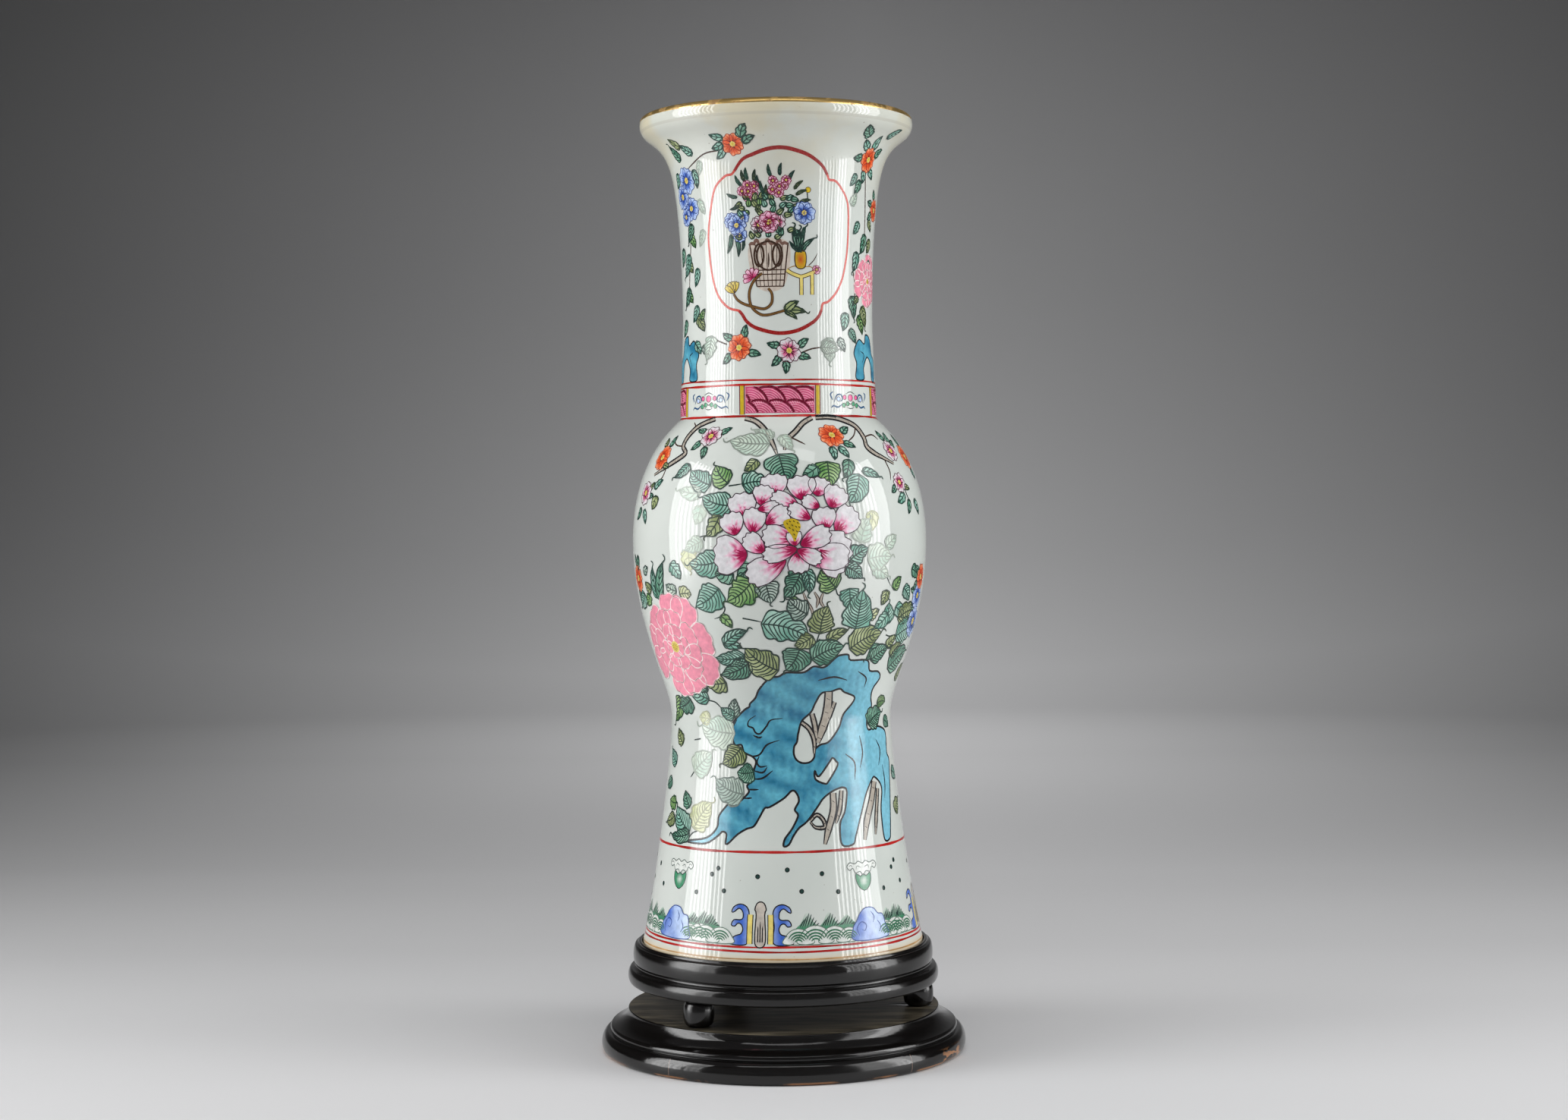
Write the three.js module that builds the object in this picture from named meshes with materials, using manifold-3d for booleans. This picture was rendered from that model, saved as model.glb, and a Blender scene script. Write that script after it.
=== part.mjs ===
// A tall porcelain vase with a flared mouth, round belly and spreading foot, standing in a two-tier
// turned wooden stand. The stand's collar sits on three bead spacers over a moulded plinth, and a long
// wood screw clamps each spacer between the two tiers. The vase stands loose in the collar's recess.
//
// Millimetres, +Z up, front of the vase towards -Y. The origin is the middle of the plinth's rest face.

import * as THREE from "three";
import { mergeVertices } from "three/addons/utils/BufferGeometryUtils.js";
import Module from "manifold-3d";

// ---- Driving dimensions ----------------------------------------------------------------------------

// Plinth, the stand's lower tier
const plinthHeight = 23.2;
const plinthDeckMargin = 0.8; // the flat deck's edge, outside the collar's widest part
const plinthFlare = 14.6; // from the deck's edge out to the widest part of the big bottom bead
const plinthBeadHeight = 11; // big bottom bead
const plinthFilletHeight = 3.4; // small bead between the cove and the big bead
const plinthFilletInset = 5.2; // from the widest part to the small bead
const plinthDeckRound = 0.8;
const plinthRestInset = 2.2; // the rest face's outer edge, inside the bead's widest part
const plinthRestWidth = 13; // ring that touches the table
const plinthHollowDepth = 3; // relief turned into the underside

// Bead spacers
const spacerCount = 3;
const spacerRadius = 8.3;
const spacerHeight = 13.8; // between its two faced ends
const spacerInset = 10.7; // a spacer's centre, inside the collar's widest part
const spacerFirstAngle = -37; // degrees from the front, positive towards +X

// Collar, the stand's upper tier
const collarHeight = 22.6;
const collarLowerBeadWall = 7.5; // walls are measured outwards from the recess's wall
const collarUpperBeadWall = 4.5;
const collarWaistWall = 3.3; // at the hollow between the two beads
const collarLowerBeadHeight = 8.2;
const collarUpperBeadHeight = 10.5;
const collarLipHeight = 1.6; // above the upper bead
const collarLipWidth = 1.6; // flat top ring between the recess and the upper bead's shoulder
const recessDepth = 6;
const collarEdgeRound = 1.3;

// Wood screws
const screwShankRadius = 2.1;
const screwHeadRadius = 4.2;
const screwHeadHeight = 2.6;
const screwBite = 12; // length held in the collar
const screwPointLength = 4;
const screwHeadSink = 0.6; // head below the plinth's hollow underside

// Vase, outside
const vaseHeight = 456.5;
const footRadius = 77;
const footBandHeight = 6.5; // upright band above the foot's bottom edge
const waistRadius = 60.4;
const waistHeight = 131; // heights are measured from the foot's bottom edge
const bellyRadius = 80.7;
const bellyHeight = 225.5;
const neckBaseRadius = 53.8;
const neckBaseHeight = 291.7;
const neckRadius = 52.1; // narrowest part of the neck
const neckHeight = 346.5;
const throatRadius = 58; // where the neck turns into the mouth's flare
const mouthRadius = 74.8;
const mouthDepth = 30; // from the rim down to the throat
const lipHeight = 13; // from the underside of the rolled lip to the rim
// Vase, inside and foot
const wall = 4.6;
const floorThickness = 7;
const footRingWidth = 6.5;
const footRingHeight = 5;
const footChamfer = 1;

// Clearances
const slipFit = 0.7; // between the vase's foot and the collar's recess
const screwFit = 0.3; // round a screw's shank and head
const contactGap = 0.05; // between faces that rest on each other

// Roundness of the turned shapes
const vaseSegments = 36;
const standSegments = 40;
const spacerSegments = 16;
const screwSegments = 12;

// ---- Derived sizes and heights ---------------------------------------------------------------------

const throatHeight = vaseHeight - mouthDepth;
const recessRadius = footRadius + slipFit;
const collarWaistRadius = recessRadius + collarWaistWall;
const collarUpperBeadRadius = recessRadius + collarUpperBeadWall;
const collarRadius = recessRadius + collarLowerBeadWall; // its widest part
const plinthTopRadius = collarRadius + plinthDeckMargin;
const plinthRadius = plinthTopRadius + plinthFlare; // its widest part
const spacerCircleRadius = collarRadius - spacerInset;

const spacerBottom = plinthHeight + contactGap;
const collarBottom = spacerBottom + spacerHeight + contactGap;
const collarTop = collarBottom + collarHeight;
const seatHeight = collarTop - recessDepth;
const vaseBottom = seatHeight + contactGap;
const screwHeadBottom = plinthHollowDepth + screwHeadSink;

// ---- Colours ---------------------------------------------------------------------------------------

const glaze = new THREE.MeshStandardMaterial({ color: 0xe4e8e2, roughness: 0.08, metalness: 0 });
const lacquer = new THREE.MeshStandardMaterial({ color: 0x0b0a09, roughness: 0.22, metalness: 0 });
const steel = new THREE.MeshStandardMaterial({ color: 0x8f8c84, roughness: 0.4, metalness: 1 });

// ---- Helpers ---------------------------------------------------------------------------------------

const wasm = await Module();
wasm.setup();

const at = (radius, height) => new THREE.Vector2(radius, height);

// Points along a cubic curve between two profile points, without its first point.
function curve(from, handleA, handleB, to, steps) {
  return new THREE.CubicBezierCurve(from, handleA, handleB, to).getPoints(steps).slice(1);
}

// Points along a half-ellipse bead, bulging outwards by depth, from its lower to its upper end.
function bead(lower, upper, depth, steps) {
  const points = [];
  for (let i = 0; i <= steps; i++) {
    const turn = (i / steps) * Math.PI;
    const along = (1 - Math.cos(turn)) / 2;
    const radius = THREE.MathUtils.lerp(lower.x, upper.x, along) + depth * Math.sin(turn);
    points.push(at(radius, THREE.MathUtils.lerp(lower.y, upper.y, along)));
  }
  return points;
}

// The profile moved towards its left, which is inwards on an outline that climbs the outside.
function movedInwards(points, distance) {
  return points.map((point, i) => {
    const before = points[Math.max(i - 1, 0)];
    const after = points[Math.min(i + 1, points.length - 1)];
    const along = after.clone().sub(before).normalize();
    return at(point.x - along.y * distance, point.y + along.x * distance);
  });
}

// A solid of revolution about Z. The profile runs anticlockwise, up the outside, and is closed here.
function turned(profile, segments) {
  const closed = [...profile];
  const first = closed[0];
  const last = closed[closed.length - 1];
  if (first.x > 0 || last.x > 0) closed.push(first.clone());
  const geometry = new THREE.LatheGeometry(closed, segments);
  geometry.rotateX(Math.PI / 2);
  return geometry;
}

function solidOf(geometry) {
  const plain = geometry.clone();
  plain.deleteAttribute("normal");
  plain.deleteAttribute("uv");
  const merged = mergeVertices(plain, 1e-4);
  return new wasm.Manifold(
    new wasm.Mesh({
      numProp: 3,
      vertProperties: merged.attributes.position.array,
      triVerts: new Uint32Array(merged.index.array),
    }),
  );
}

function geometryOf(solid) {
  const mesh = solid.getMesh();
  const geometry = new THREE.BufferGeometry();
  geometry.setAttribute("position", new THREE.BufferAttribute(mesh.vertProperties, 3));
  geometry.setIndex(new THREE.BufferAttribute(mesh.triVerts, 1));
  geometry.computeVertexNormals();
  return geometry;
}

function piece(name, geometry, material, x = 0, y = 0, z = 0) {
  const mesh = new THREE.Mesh(geometry, material);
  mesh.name = name;
  mesh.position.set(x, y, z);
  return mesh;
}

// Centre of a spacer and its screw, seen from above.
function spacerPlace(index) {
  const angle = THREE.MathUtils.degToRad(spacerFirstAngle + (index * 360) / spacerCount);
  return at(spacerCircleRadius * Math.sin(angle), -spacerCircleRadius * Math.cos(angle));
}

// Cuts the same turned hole at every spacer.
function drilled(body, hole) {
  let solid = solidOf(body);
  for (let i = 0; i < spacerCount; i++) {
    const place = spacerPlace(i);
    solid = solid.subtract(solidOf(hole.clone().translate(place.x, place.y, 0)));
  }
  return geometryOf(solid);
}

// ---- Vase ------------------------------------------------------------------------------------------

// The outside of the vase from its foot to the throat, with heights from the foot's bottom.
function vaseWallOutside() {
  const foot = at(footRadius, footBandHeight);
  const footPull = at(footRadius - 4, footBandHeight + 14.5);
  const waist = at(waistRadius, waistHeight);
  const waistLow = at(waistRadius, waistHeight - 30);
  const waistHigh = at(waistRadius, waistHeight + 14.5);
  const belly = at(bellyRadius, bellyHeight);
  const bellyLow = at(bellyRadius, bellyHeight - 47);
  const bellyHigh = at(bellyRadius, bellyHeight + 26);
  const neckBase = at(neckBaseRadius, neckBaseHeight);
  const shoulder = at(neckBaseRadius + 18.7, neckBaseHeight - 16.2);
  const neckStart = at(neckBaseRadius - 0.2, neckBaseHeight + 17);
  const neck = at(neckRadius, neckHeight);
  const throat = at(throatRadius, throatHeight);
  return [
    foot,
    ...curve(foot, footPull, waistLow, waist, 6),
    ...curve(waist, waistHigh, bellyLow, belly, 8),
    ...curve(belly, bellyHigh, shoulder, neckBase, 8),
    ...curve(neckBase, neckStart, at(neckRadius, neckHeight - 15), neck, 2),
    ...curve(neck, at(neckRadius, neckHeight + 32), at(throatRadius - 4, throatHeight - 14), throat, 4),
  ];
}

// The flare above the throat and the rolled lip, up to the rim.
function vaseLip() {
  const throat = at(throatRadius, throatHeight);
  const lipBottom = vaseHeight - lipHeight;
  const underLip = at(mouthRadius - 5.5, lipBottom);
  const flare = at(mouthRadius - 11.3, lipBottom - 4);
  const widest = at(mouthRadius, vaseHeight - 4.7);
  const rim = at(mouthRadius - 3, vaseHeight);
  return [
    ...curve(throat, at(throatRadius + 2.2, throatHeight + 8), flare, underLip, 3),
    ...curve(underLip, at(mouthRadius - 2.3, lipBottom + 2.3), at(mouthRadius, vaseHeight - 8.5), widest, 3),
    ...curve(widest, at(mouthRadius, vaseHeight - 1.8), at(mouthRadius - 1, vaseHeight), rim, 2),
  ];
}

// The inside, from the rim down to the floor: the mouth's bowl, then the wall's outside moved inwards.
function vaseInside(wallOutside) {
  const floor = footRingHeight + floorThickness;
  const everySecond = wallOutside.filter((point, i) => i % 2 === 0);
  const wallInside = movedInwards(everySecond, wall).filter((point) => point.y > floor + wall);
  const top = wallInside[wallInside.length - 1];
  const innerRim = at(mouthRadius - wall - 1, vaseHeight - 1.2);
  const bowl = at(mouthRadius - wall - 8, vaseHeight - 6);
  const corner = at(wallInside[0].x - wall, floor);
  return [
    innerRim,
    ...curve(innerRim, bowl, at(top.x + 2, top.y + 8), top, 4),
    ...wallInside.reverse().slice(1),
    corner,
    at(0, floor),
  ];
}

// The underside, from the middle of the base out over the foot ring.
function vaseUnderside() {
  const ringInner = footRadius - footRingWidth;
  return [
    at(0, footRingHeight),
    at(ringInner - 2, footRingHeight),
    at(ringInner, footChamfer),
    at(ringInner + footChamfer, 0),
    at(footRadius - footChamfer, 0),
    at(footRadius, footChamfer),
  ];
}

function vaseBody() {
  const wallOutside = vaseWallOutside();
  const profile = [...vaseUnderside(), ...wallOutside, ...vaseLip(), ...vaseInside(wallOutside)];
  return turned(profile, vaseSegments);
}

// ---- Stand -----------------------------------------------------------------------------------------

// Shank hole with a wider seat for the screw's head at its lower end.
function plinthScrewHole() {
  const headTop = screwHeadBottom + screwHeadHeight;
  const shank = screwShankRadius + screwFit;
  const head = screwHeadRadius + screwFit;
  const profile = [
    at(0, -1),
    at(head, -1),
    at(head, screwHeadBottom + screwFit),
    at(shank, headTop + screwFit),
    at(shank, plinthHeight + 1),
    at(0, plinthHeight + 1),
  ];
  return turned(profile, screwSegments);
}

function plinth() {
  const restRadius = plinthRadius - plinthRestInset;
  const hollowRadius = restRadius - plinthRestWidth;
  const filletBottom = plinthBeadHeight;
  const filletTop = plinthBeadHeight + plinthFilletHeight;
  const filletRadius = plinthRadius - plinthFilletInset;
  const beadTop = at(filletRadius + 1.6, filletBottom);
  const beadStart = at(restRadius, 0);
  const coveFoot = at(filletRadius - 1.8, filletTop);
  const covePull = at(filletRadius - 6, filletTop + 1.6);
  const deckEdge = at(plinthTopRadius, plinthHeight - plinthDeckRound);
  const profile = [
    at(0, plinthHollowDepth),
    at(hollowRadius, plinthHollowDepth),
    at(hollowRadius, 0),
    beadStart,
    ...curve(beadStart, at(plinthRadius + 0.5, 1.2), at(plinthRadius + 0.2, 6), beadTop, 6),
    at(filletRadius + 0.2, filletBottom),
    ...bead(at(filletRadius - 0.4, filletBottom + 0.3), at(filletRadius - 1.2, filletTop - 0.3), 0.9, 4),
    coveFoot,
    ...curve(coveFoot, covePull, at(plinthTopRadius + 0.4, plinthHeight - 4), deckEdge, 5),
    at(plinthTopRadius - plinthDeckRound, plinthHeight),
    at(0, plinthHeight),
  ];
  return drilled(turned(profile, standSegments), plinthScrewHole());
}

function spacer() {
  const half = spacerHeight / 2;
  const bore = screwShankRadius + screwFit;
  const faceAngle = Math.asin(half / spacerRadius);
  const steps = 6;
  const profile = [at(bore, 0)];
  for (let i = 0; i <= steps; i++) {
    const angle = THREE.MathUtils.lerp(-faceAngle, faceAngle, i / steps);
    profile.push(at(spacerRadius * Math.cos(angle), half + spacerRadius * Math.sin(angle)));
  }
  profile.push(at(bore, spacerHeight));
  return turned(profile, spacerSegments);
}

// Pilot hole in the collar's underside, deep enough for the screw's bite.
function collarScrewHole() {
  const pilot = screwShankRadius + screwFit;
  const depth = screwBite + 1;
  const hole = turned([at(0, -1), at(pilot, -1), at(pilot, depth), at(0, depth + pilot)], screwSegments);
  return hole.translate(0, 0, collarBottom);
}

function collar() {
  const lowerTop = collarBottom + collarLowerBeadHeight;
  const upperTop = collarTop - collarLipHeight;
  const upperBottom = upperTop - collarUpperBeadHeight;
  const underRadius = collarRadius - 2;
  const lipRadius = recessRadius + collarLipWidth;
  const lowerBeadStart = at(underRadius, collarBottom + 0.4);
  const lowerBeadEnd = at(collarRadius - 1.6, lowerTop);
  const hollowStart = at(collarWaistRadius + 2.4, lowerTop + 0.4);
  const hollowEnd = at(collarWaistRadius, upperBottom);
  const upperBeadStart = at(collarWaistRadius, upperBottom + 0.4);
  const upperBeadEnd = at(lipRadius + 0.9, upperTop);
  const hollowPull = at(collarWaistRadius + 0.6, lowerTop + 0.8);
  const profile = [
    at(0, collarBottom),
    at(underRadius - collarEdgeRound, collarBottom),
    ...bead(lowerBeadStart, lowerBeadEnd, collarRadius - underRadius + 0.2, 6),
    ...curve(hollowStart, hollowPull, at(collarWaistRadius - 0.2, lowerTop + 2), hollowEnd, 4),
    ...bead(upperBeadStart, upperBeadEnd, collarUpperBeadRadius - collarWaistRadius + 0.6, 6),
    at(lipRadius + 0.4, collarTop - 0.5),
    at(lipRadius, collarTop),
    at(recessRadius + 0.5, collarTop),
    at(recessRadius, collarTop - 0.5),
    at(recessRadius, seatHeight),
    at(0, seatHeight),
  ];
  return drilled(turned(profile, standSegments), collarScrewHole());
}

// Countersunk wood screw standing on its head, with its tip up in the collar.
function screw() {
  const tip = collarBottom + screwBite - screwHeadBottom;
  const profile = [
    at(0, 0),
    at(screwHeadRadius, 0),
    at(screwHeadRadius, 0.5),
    at(screwShankRadius, screwHeadHeight),
    at(screwShankRadius, tip - screwPointLength),
    at(0, tip),
  ];
  return turned(profile, screwSegments);
}

// ---- Assembly --------------------------------------------------------------------------------------

const vaseOnStand = new THREE.Group();
vaseOnStand.add(piece("vase_body", vaseBody(), glaze, 0, 0, vaseBottom));
vaseOnStand.add(piece("stand_plinth", plinth(), lacquer));
vaseOnStand.add(piece("stand_collar", collar(), lacquer));
for (let i = 0; i < spacerCount; i++) {
  const place = spacerPlace(i);
  vaseOnStand.add(piece(`bead_spacer_${i + 1}`, spacer(), lacquer, place.x, place.y, spacerBottom));
  vaseOnStand.add(piece(`wood_screw_${i + 1}`, screw(), steel, place.x, place.y, screwHeadBottom));
}

export default vaseOnStand;
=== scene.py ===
# A painted porcelain vase on a two-tier lacquered stand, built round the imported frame.
# Shapes and paint are given in millimetres and put into metres when a mesh is made.
import math
import random

import bpy
import numpy as np
from mathutils import Matrix, Vector
from mathutils.geometry import delaunay_2d_cdt


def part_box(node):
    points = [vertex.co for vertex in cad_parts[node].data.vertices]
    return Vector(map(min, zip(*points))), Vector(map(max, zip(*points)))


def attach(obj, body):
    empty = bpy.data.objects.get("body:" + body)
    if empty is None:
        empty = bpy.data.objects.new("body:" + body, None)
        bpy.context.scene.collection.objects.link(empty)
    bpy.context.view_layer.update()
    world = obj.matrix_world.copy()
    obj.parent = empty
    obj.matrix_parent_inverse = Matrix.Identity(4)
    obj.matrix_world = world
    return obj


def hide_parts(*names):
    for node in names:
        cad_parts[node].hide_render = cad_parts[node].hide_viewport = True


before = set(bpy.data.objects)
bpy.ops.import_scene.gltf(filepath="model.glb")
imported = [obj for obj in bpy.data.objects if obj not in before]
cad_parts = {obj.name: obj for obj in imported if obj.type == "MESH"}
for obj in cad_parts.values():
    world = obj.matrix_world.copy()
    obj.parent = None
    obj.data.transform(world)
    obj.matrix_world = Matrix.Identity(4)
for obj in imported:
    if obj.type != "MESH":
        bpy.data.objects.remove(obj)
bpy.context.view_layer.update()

MM = 0.001

# ---- Places from the frame, in mm ----------------------------------------------------------------


def box_mm(node):
    low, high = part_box(node)
    return Vector(low) / MM, Vector(high) / MM


vase_low, vase_high = box_mm("vase_body")
collar_low, collar_high = box_mm("stand_collar")
plinth_low, plinth_high = box_mm("stand_plinth")
spacers = [box_mm(f"bead_spacer_{i}") for i in (1, 2, 3)]

VASE_HEIGHT = vase_high.z - vase_low.z
BELLY_RADIUS = vase_high.x
COLLAR_RADIUS = collar_high.x
PLINTH_RADIUS = plinth_high.x

# ---- Profiles ------------------------------------------------------------------------------------


def bezier(start, pull_a, pull_b, end, steps):
    """Points along a cubic curve, without its first point."""
    t = np.linspace(0, 1, steps + 1)[1:, None]
    a, b, c, d = (np.array(p, float) for p in (start, pull_a, pull_b, end))
    points = (1 - t) ** 3 * a + 3 * (1 - t) ** 2 * t * b + 3 * (1 - t) * t**2 * c + t**3 * d
    return [tuple(p) for p in points]


def bead(lower, upper, depth, steps):
    """A half-ellipse bulge between two profile points, its ends included."""
    points = []
    for i in range(steps + 1):
        turn = math.pi * i / steps
        along = (1 - math.cos(turn)) / 2
        radius = lower[0] + (upper[0] - lower[0]) * along + depth * math.sin(turn)
        points.append((radius, lower[1] + (upper[1] - lower[1]) * along))
    return points


FOOT_RADIUS = 77.0
FOOT_BAND = 6.5  # height of the upright band above the foot's edge
WAIST = (60.4, 131.0)
BELLY = (BELLY_RADIUS, 225.5)
NECK_BASE = (53.8, 291.7)
NECK = (52.1, 346.5)
THROAT = (58.0, VASE_HEIGHT - 30)
MOUTH_RADIUS = 74.8
LIP = 13.0
WALL = 4.6
FOOT_RING = 5.0  # height of the ring that the vase stands on
FOOT_RING_WIDE = 6.5
VASE_SEGMENTS = 288
STAND_SEGMENTS = 256
FLOOR = 12.0


def vase_outside():
    """The outside from the foot's bottom edge to the rim; heights are from the foot's bottom."""
    foot = (FOOT_RADIUS, FOOT_BAND)
    lip_bottom = VASE_HEIGHT - LIP
    under_lip = (MOUTH_RADIUS - 5.5, lip_bottom)
    widest = (MOUTH_RADIUS, VASE_HEIGHT - 4.7)
    rim = (MOUTH_RADIUS - 3, VASE_HEIGHT)
    points = [(FOOT_RADIUS - 1, 0), (FOOT_RADIUS - 0.3, 0.3), (FOOT_RADIUS, 1), foot]
    points += bezier(foot, (FOOT_RADIUS - 4, FOOT_BAND + 14.5), (WAIST[0], WAIST[1] - 30), WAIST, 60)
    points += bezier(WAIST, (WAIST[0], WAIST[1] + 14.5), (BELLY[0], BELLY[1] - 47), BELLY, 50)
    shoulder = (NECK_BASE[0] + 18.7, NECK_BASE[1] - 16.2)
    points += bezier(BELLY, (BELLY[0], BELLY[1] + 26), shoulder, NECK_BASE, 44)
    neck_start = (NECK_BASE[0] - 0.2, NECK_BASE[1] + 17)
    points += bezier(NECK_BASE, neck_start, (NECK[0], NECK[1] - 15), NECK, 26)
    points += bezier(NECK, (NECK[0], NECK[1] + 32), (THROAT[0] - 4, THROAT[1] - 14), THROAT, 40)
    flare = (MOUTH_RADIUS - 11.3, lip_bottom - 4)
    points += bezier(THROAT, (THROAT[0] + 2.2, THROAT[1] + 8), flare, under_lip, 18)
    below_widest = (MOUTH_RADIUS, VASE_HEIGHT - 8.5)
    points += bezier(under_lip, (MOUTH_RADIUS - 2.3, lip_bottom + 2.3), below_widest, widest, 12)
    over = (MOUTH_RADIUS, VASE_HEIGHT - 1.8), (MOUTH_RADIUS - 1, VASE_HEIGHT)
    return points + bezier(widest, *over, rim, 10)


def vase_inside():
    """The inside from the rim down to the middle of the floor."""
    rim = (MOUTH_RADIUS - 3, VASE_HEIGHT)
    inner_rim = (MOUTH_RADIUS - WALL - 1, VASE_HEIGHT - 1.2)
    throat = (THROAT[0] - WALL, THROAT[1] + 1)
    neck = (NECK[0] - WALL, NECK[1])
    neck_base = (NECK_BASE[0] - WALL, NECK_BASE[1] - 2)
    belly = (BELLY[0] - WALL, BELLY[1])
    waist = (WAIST[0] - WALL, WAIST[1])
    corner = (FOOT_RADIUS - WALL - 10, FLOOR)
    over = (MOUTH_RADIUS - 4.2, VASE_HEIGHT), (MOUTH_RADIUS - 5, VASE_HEIGHT - 0.5)
    points = bezier(rim, *over, inner_rim, 6)
    into_throat = (MOUTH_RADIUS - WALL - 8, VASE_HEIGHT - 6), (throat[0] + 2, throat[1] + 8)
    points += bezier(inner_rim, *into_throat, throat, 16)
    points += bezier(throat, (throat[0] - 4, throat[1] - 14), (neck[0], neck[1] + 32), neck, 20)
    points += bezier(neck, (neck[0], neck[1] - 20), (neck_base[0] - 0.4, neck_base[1] + 16), neck_base, 8)
    points += bezier(
        neck_base, (neck_base[0] + 17, neck_base[1] - 16), (belly[0], belly[1] + 26), belly, 20,
    )
    points += bezier(belly, (belly[0], belly[1] - 47), (waist[0], waist[1] + 14.5), waist, 20)
    points += bezier(waist, (waist[0], waist[1] - 40), (corner[0] + 9, FLOOR + 12), corner, 20)
    return points + [(corner[0] - 4, FLOOR - 0.2), (0, FLOOR - 0.4)]


def vase_underside():
    ring = FOOT_RADIUS - FOOT_RING_WIDE
    return [(0, FOOT_RING), (ring - 3, FOOT_RING), (ring - 1, FOOT_RING - 0.8), (ring, 1), (ring + 1, 0)]


# ---- Turned surfaces -----------------------------------------------------------------------------


class Turned:
    """A surface of revolution about Z. Places on it are an angle from the front, positive towards
    +X, and a distance along the profile from its first point, both as numpy arrays."""

    def __init__(self, profile, base):
        self.points = np.array(profile, float)
        steps = np.hypot(*np.diff(self.points, axis=0).T)
        self.along = np.concatenate([[0], np.cumsum(steps)])
        self.base = base
        tangent = np.gradient(self.points, self.along, axis=0)
        self.tangent = tangent / np.linalg.norm(tangent, axis=1)[:, None]

    def radius(self, along):
        return np.interp(along, self.along, self.points[:, 0])

    def along_at(self, height):
        return float(np.interp(height, self.points[:, 1], self.along))

    def radius_at(self, height):
        return float(self.radius(self.along_at(height)))

    def place(self, angle, along, lift):
        """World points in metres, lifted off the surface by so many mm."""
        radius = self.radius(along) + lift * np.interp(along, self.along, self.tangent[:, 1])
        height = np.interp(along, self.along, self.points[:, 1])
        height = height - lift * np.interp(along, self.along, self.tangent[:, 0]) + self.base
        return np.stack([radius * np.sin(angle), -radius * np.cos(angle), height], 1) * MM


def mesh_object(name, verts, faces):
    mesh = bpy.data.meshes.new(name)
    mesh.from_pydata([tuple(v) for v in verts], [], [tuple(f) for f in faces])
    mesh.validate()
    mesh.update()
    mesh.polygons.foreach_set("use_smooth", [True] * len(mesh.polygons))
    piece = bpy.data.objects.new(name, mesh)
    bpy.context.collection.objects.link(piece)
    return piece


def lathe(name, profile, base, segments, centre=(0, 0), drilled=False):
    """A closed turned solid from a profile that starts and ends on the axis, or, if it is drilled,
    from one that goes round the hole and back to its start."""
    verts, faces, rings = [], [], []
    for radius, height in profile:
        if radius < 1e-6:
            rings.append([len(verts)])
            verts.append((centre[0] * MM, centre[1] * MM, (base + height) * MM))
            continue
        ring = []
        for turn in (2 * math.pi * i / segments for i in range(segments)):
            ring.append(len(verts))
            x = centre[0] + radius * math.sin(turn)
            y = centre[1] - radius * math.cos(turn)
            verts.append((x * MM, y * MM, (base + height) * MM))
        rings.append(ring)
    pairs = list(zip(rings, rings[1:]))
    if drilled:
        pairs.append((rings[-1], rings[0]))
    for lower, upper in pairs:
        for i in range(segments):
            j = (i + 1) % segments
            if len(lower) == 1:
                faces.append((lower[0], upper[j], upper[i]))
            elif len(upper) == 1:
                faces.append((lower[i], lower[j], upper[0]))
            else:
                faces.append((lower[i], lower[j], upper[j], upper[i]))
    return mesh_object(name, verts, faces)


# ---- Camera, lights, stage -----------------------------------------------------------------------

CAMERA_DISTANCE = 1357.5  # mm, from the vase's axis
CAMERA_HEIGHT = 295.2
CAMERA_LENS = 56.6
CAMERA_PITCH = -1.15  # degrees
CAMERA_YAW = -0.10
CAMERA_ROLL = -0.5


def add_camera():
    data = bpy.data.cameras.new("camera")
    data.lens = CAMERA_LENS
    data.sensor_width = 36
    data.clip_start = 0.05
    camera = bpy.data.objects.new("camera", data)
    bpy.context.collection.objects.link(camera)
    level = Matrix.Rotation(math.radians(90 + CAMERA_PITCH), 4, "X")
    aim = Matrix.Rotation(math.radians(CAMERA_YAW), 4, "Z") @ level
    roll = Matrix.Rotation(math.radians(CAMERA_ROLL), 4, "Z")
    place = Matrix.Translation((0, -CAMERA_DISTANCE * MM, CAMERA_HEIGHT * MM))
    camera.matrix_world = place @ aim @ roll
    bpy.context.scene.camera = camera


# Everything about the lamps and the backdrop is in metres.
LAMP_DISTANCE = 1.4
LAMP_HEIGHT = 0.6
LAMP_TALL = 1.3
STRIP_DISTANCE = LAMP_DISTANCE - 0.06
STRIP_WIDE = 0.04
BRIGHTNESS = 15.5  # watts for each square metre of softbox
ROOM_GREY = (0.12, 0.12, 0.125, 1)


def area_light(name, place, target, size, power):
    data = bpy.data.lights.new(name, "AREA")
    data.shape = "RECTANGLE"
    data.size, data.size_y = size
    data.energy = power
    light = bpy.data.objects.new(name, data)
    bpy.context.collection.objects.link(light)
    light.location = place
    light.rotation_euler = (Vector(target) - Vector(place)).to_track_quat("-Z", "Y").to_euler()
    return light


def round_the_vase(angle, distance, height):
    """A place at an angle from the front, positive to the right, in degrees and metres."""
    turn = math.radians(angle)
    return (distance * math.sin(turn), -distance * math.cos(turn), height)


def softbox(name, angle, wide, share, distance=LAMP_DISTANCE):
    place = round_the_vase(angle, distance, LAMP_HEIGHT)
    power = BRIGHTNESS * share * wide * LAMP_TALL
    area_light(name, place, (0, 0, 0.27), (wide, LAMP_TALL), power)


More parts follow.
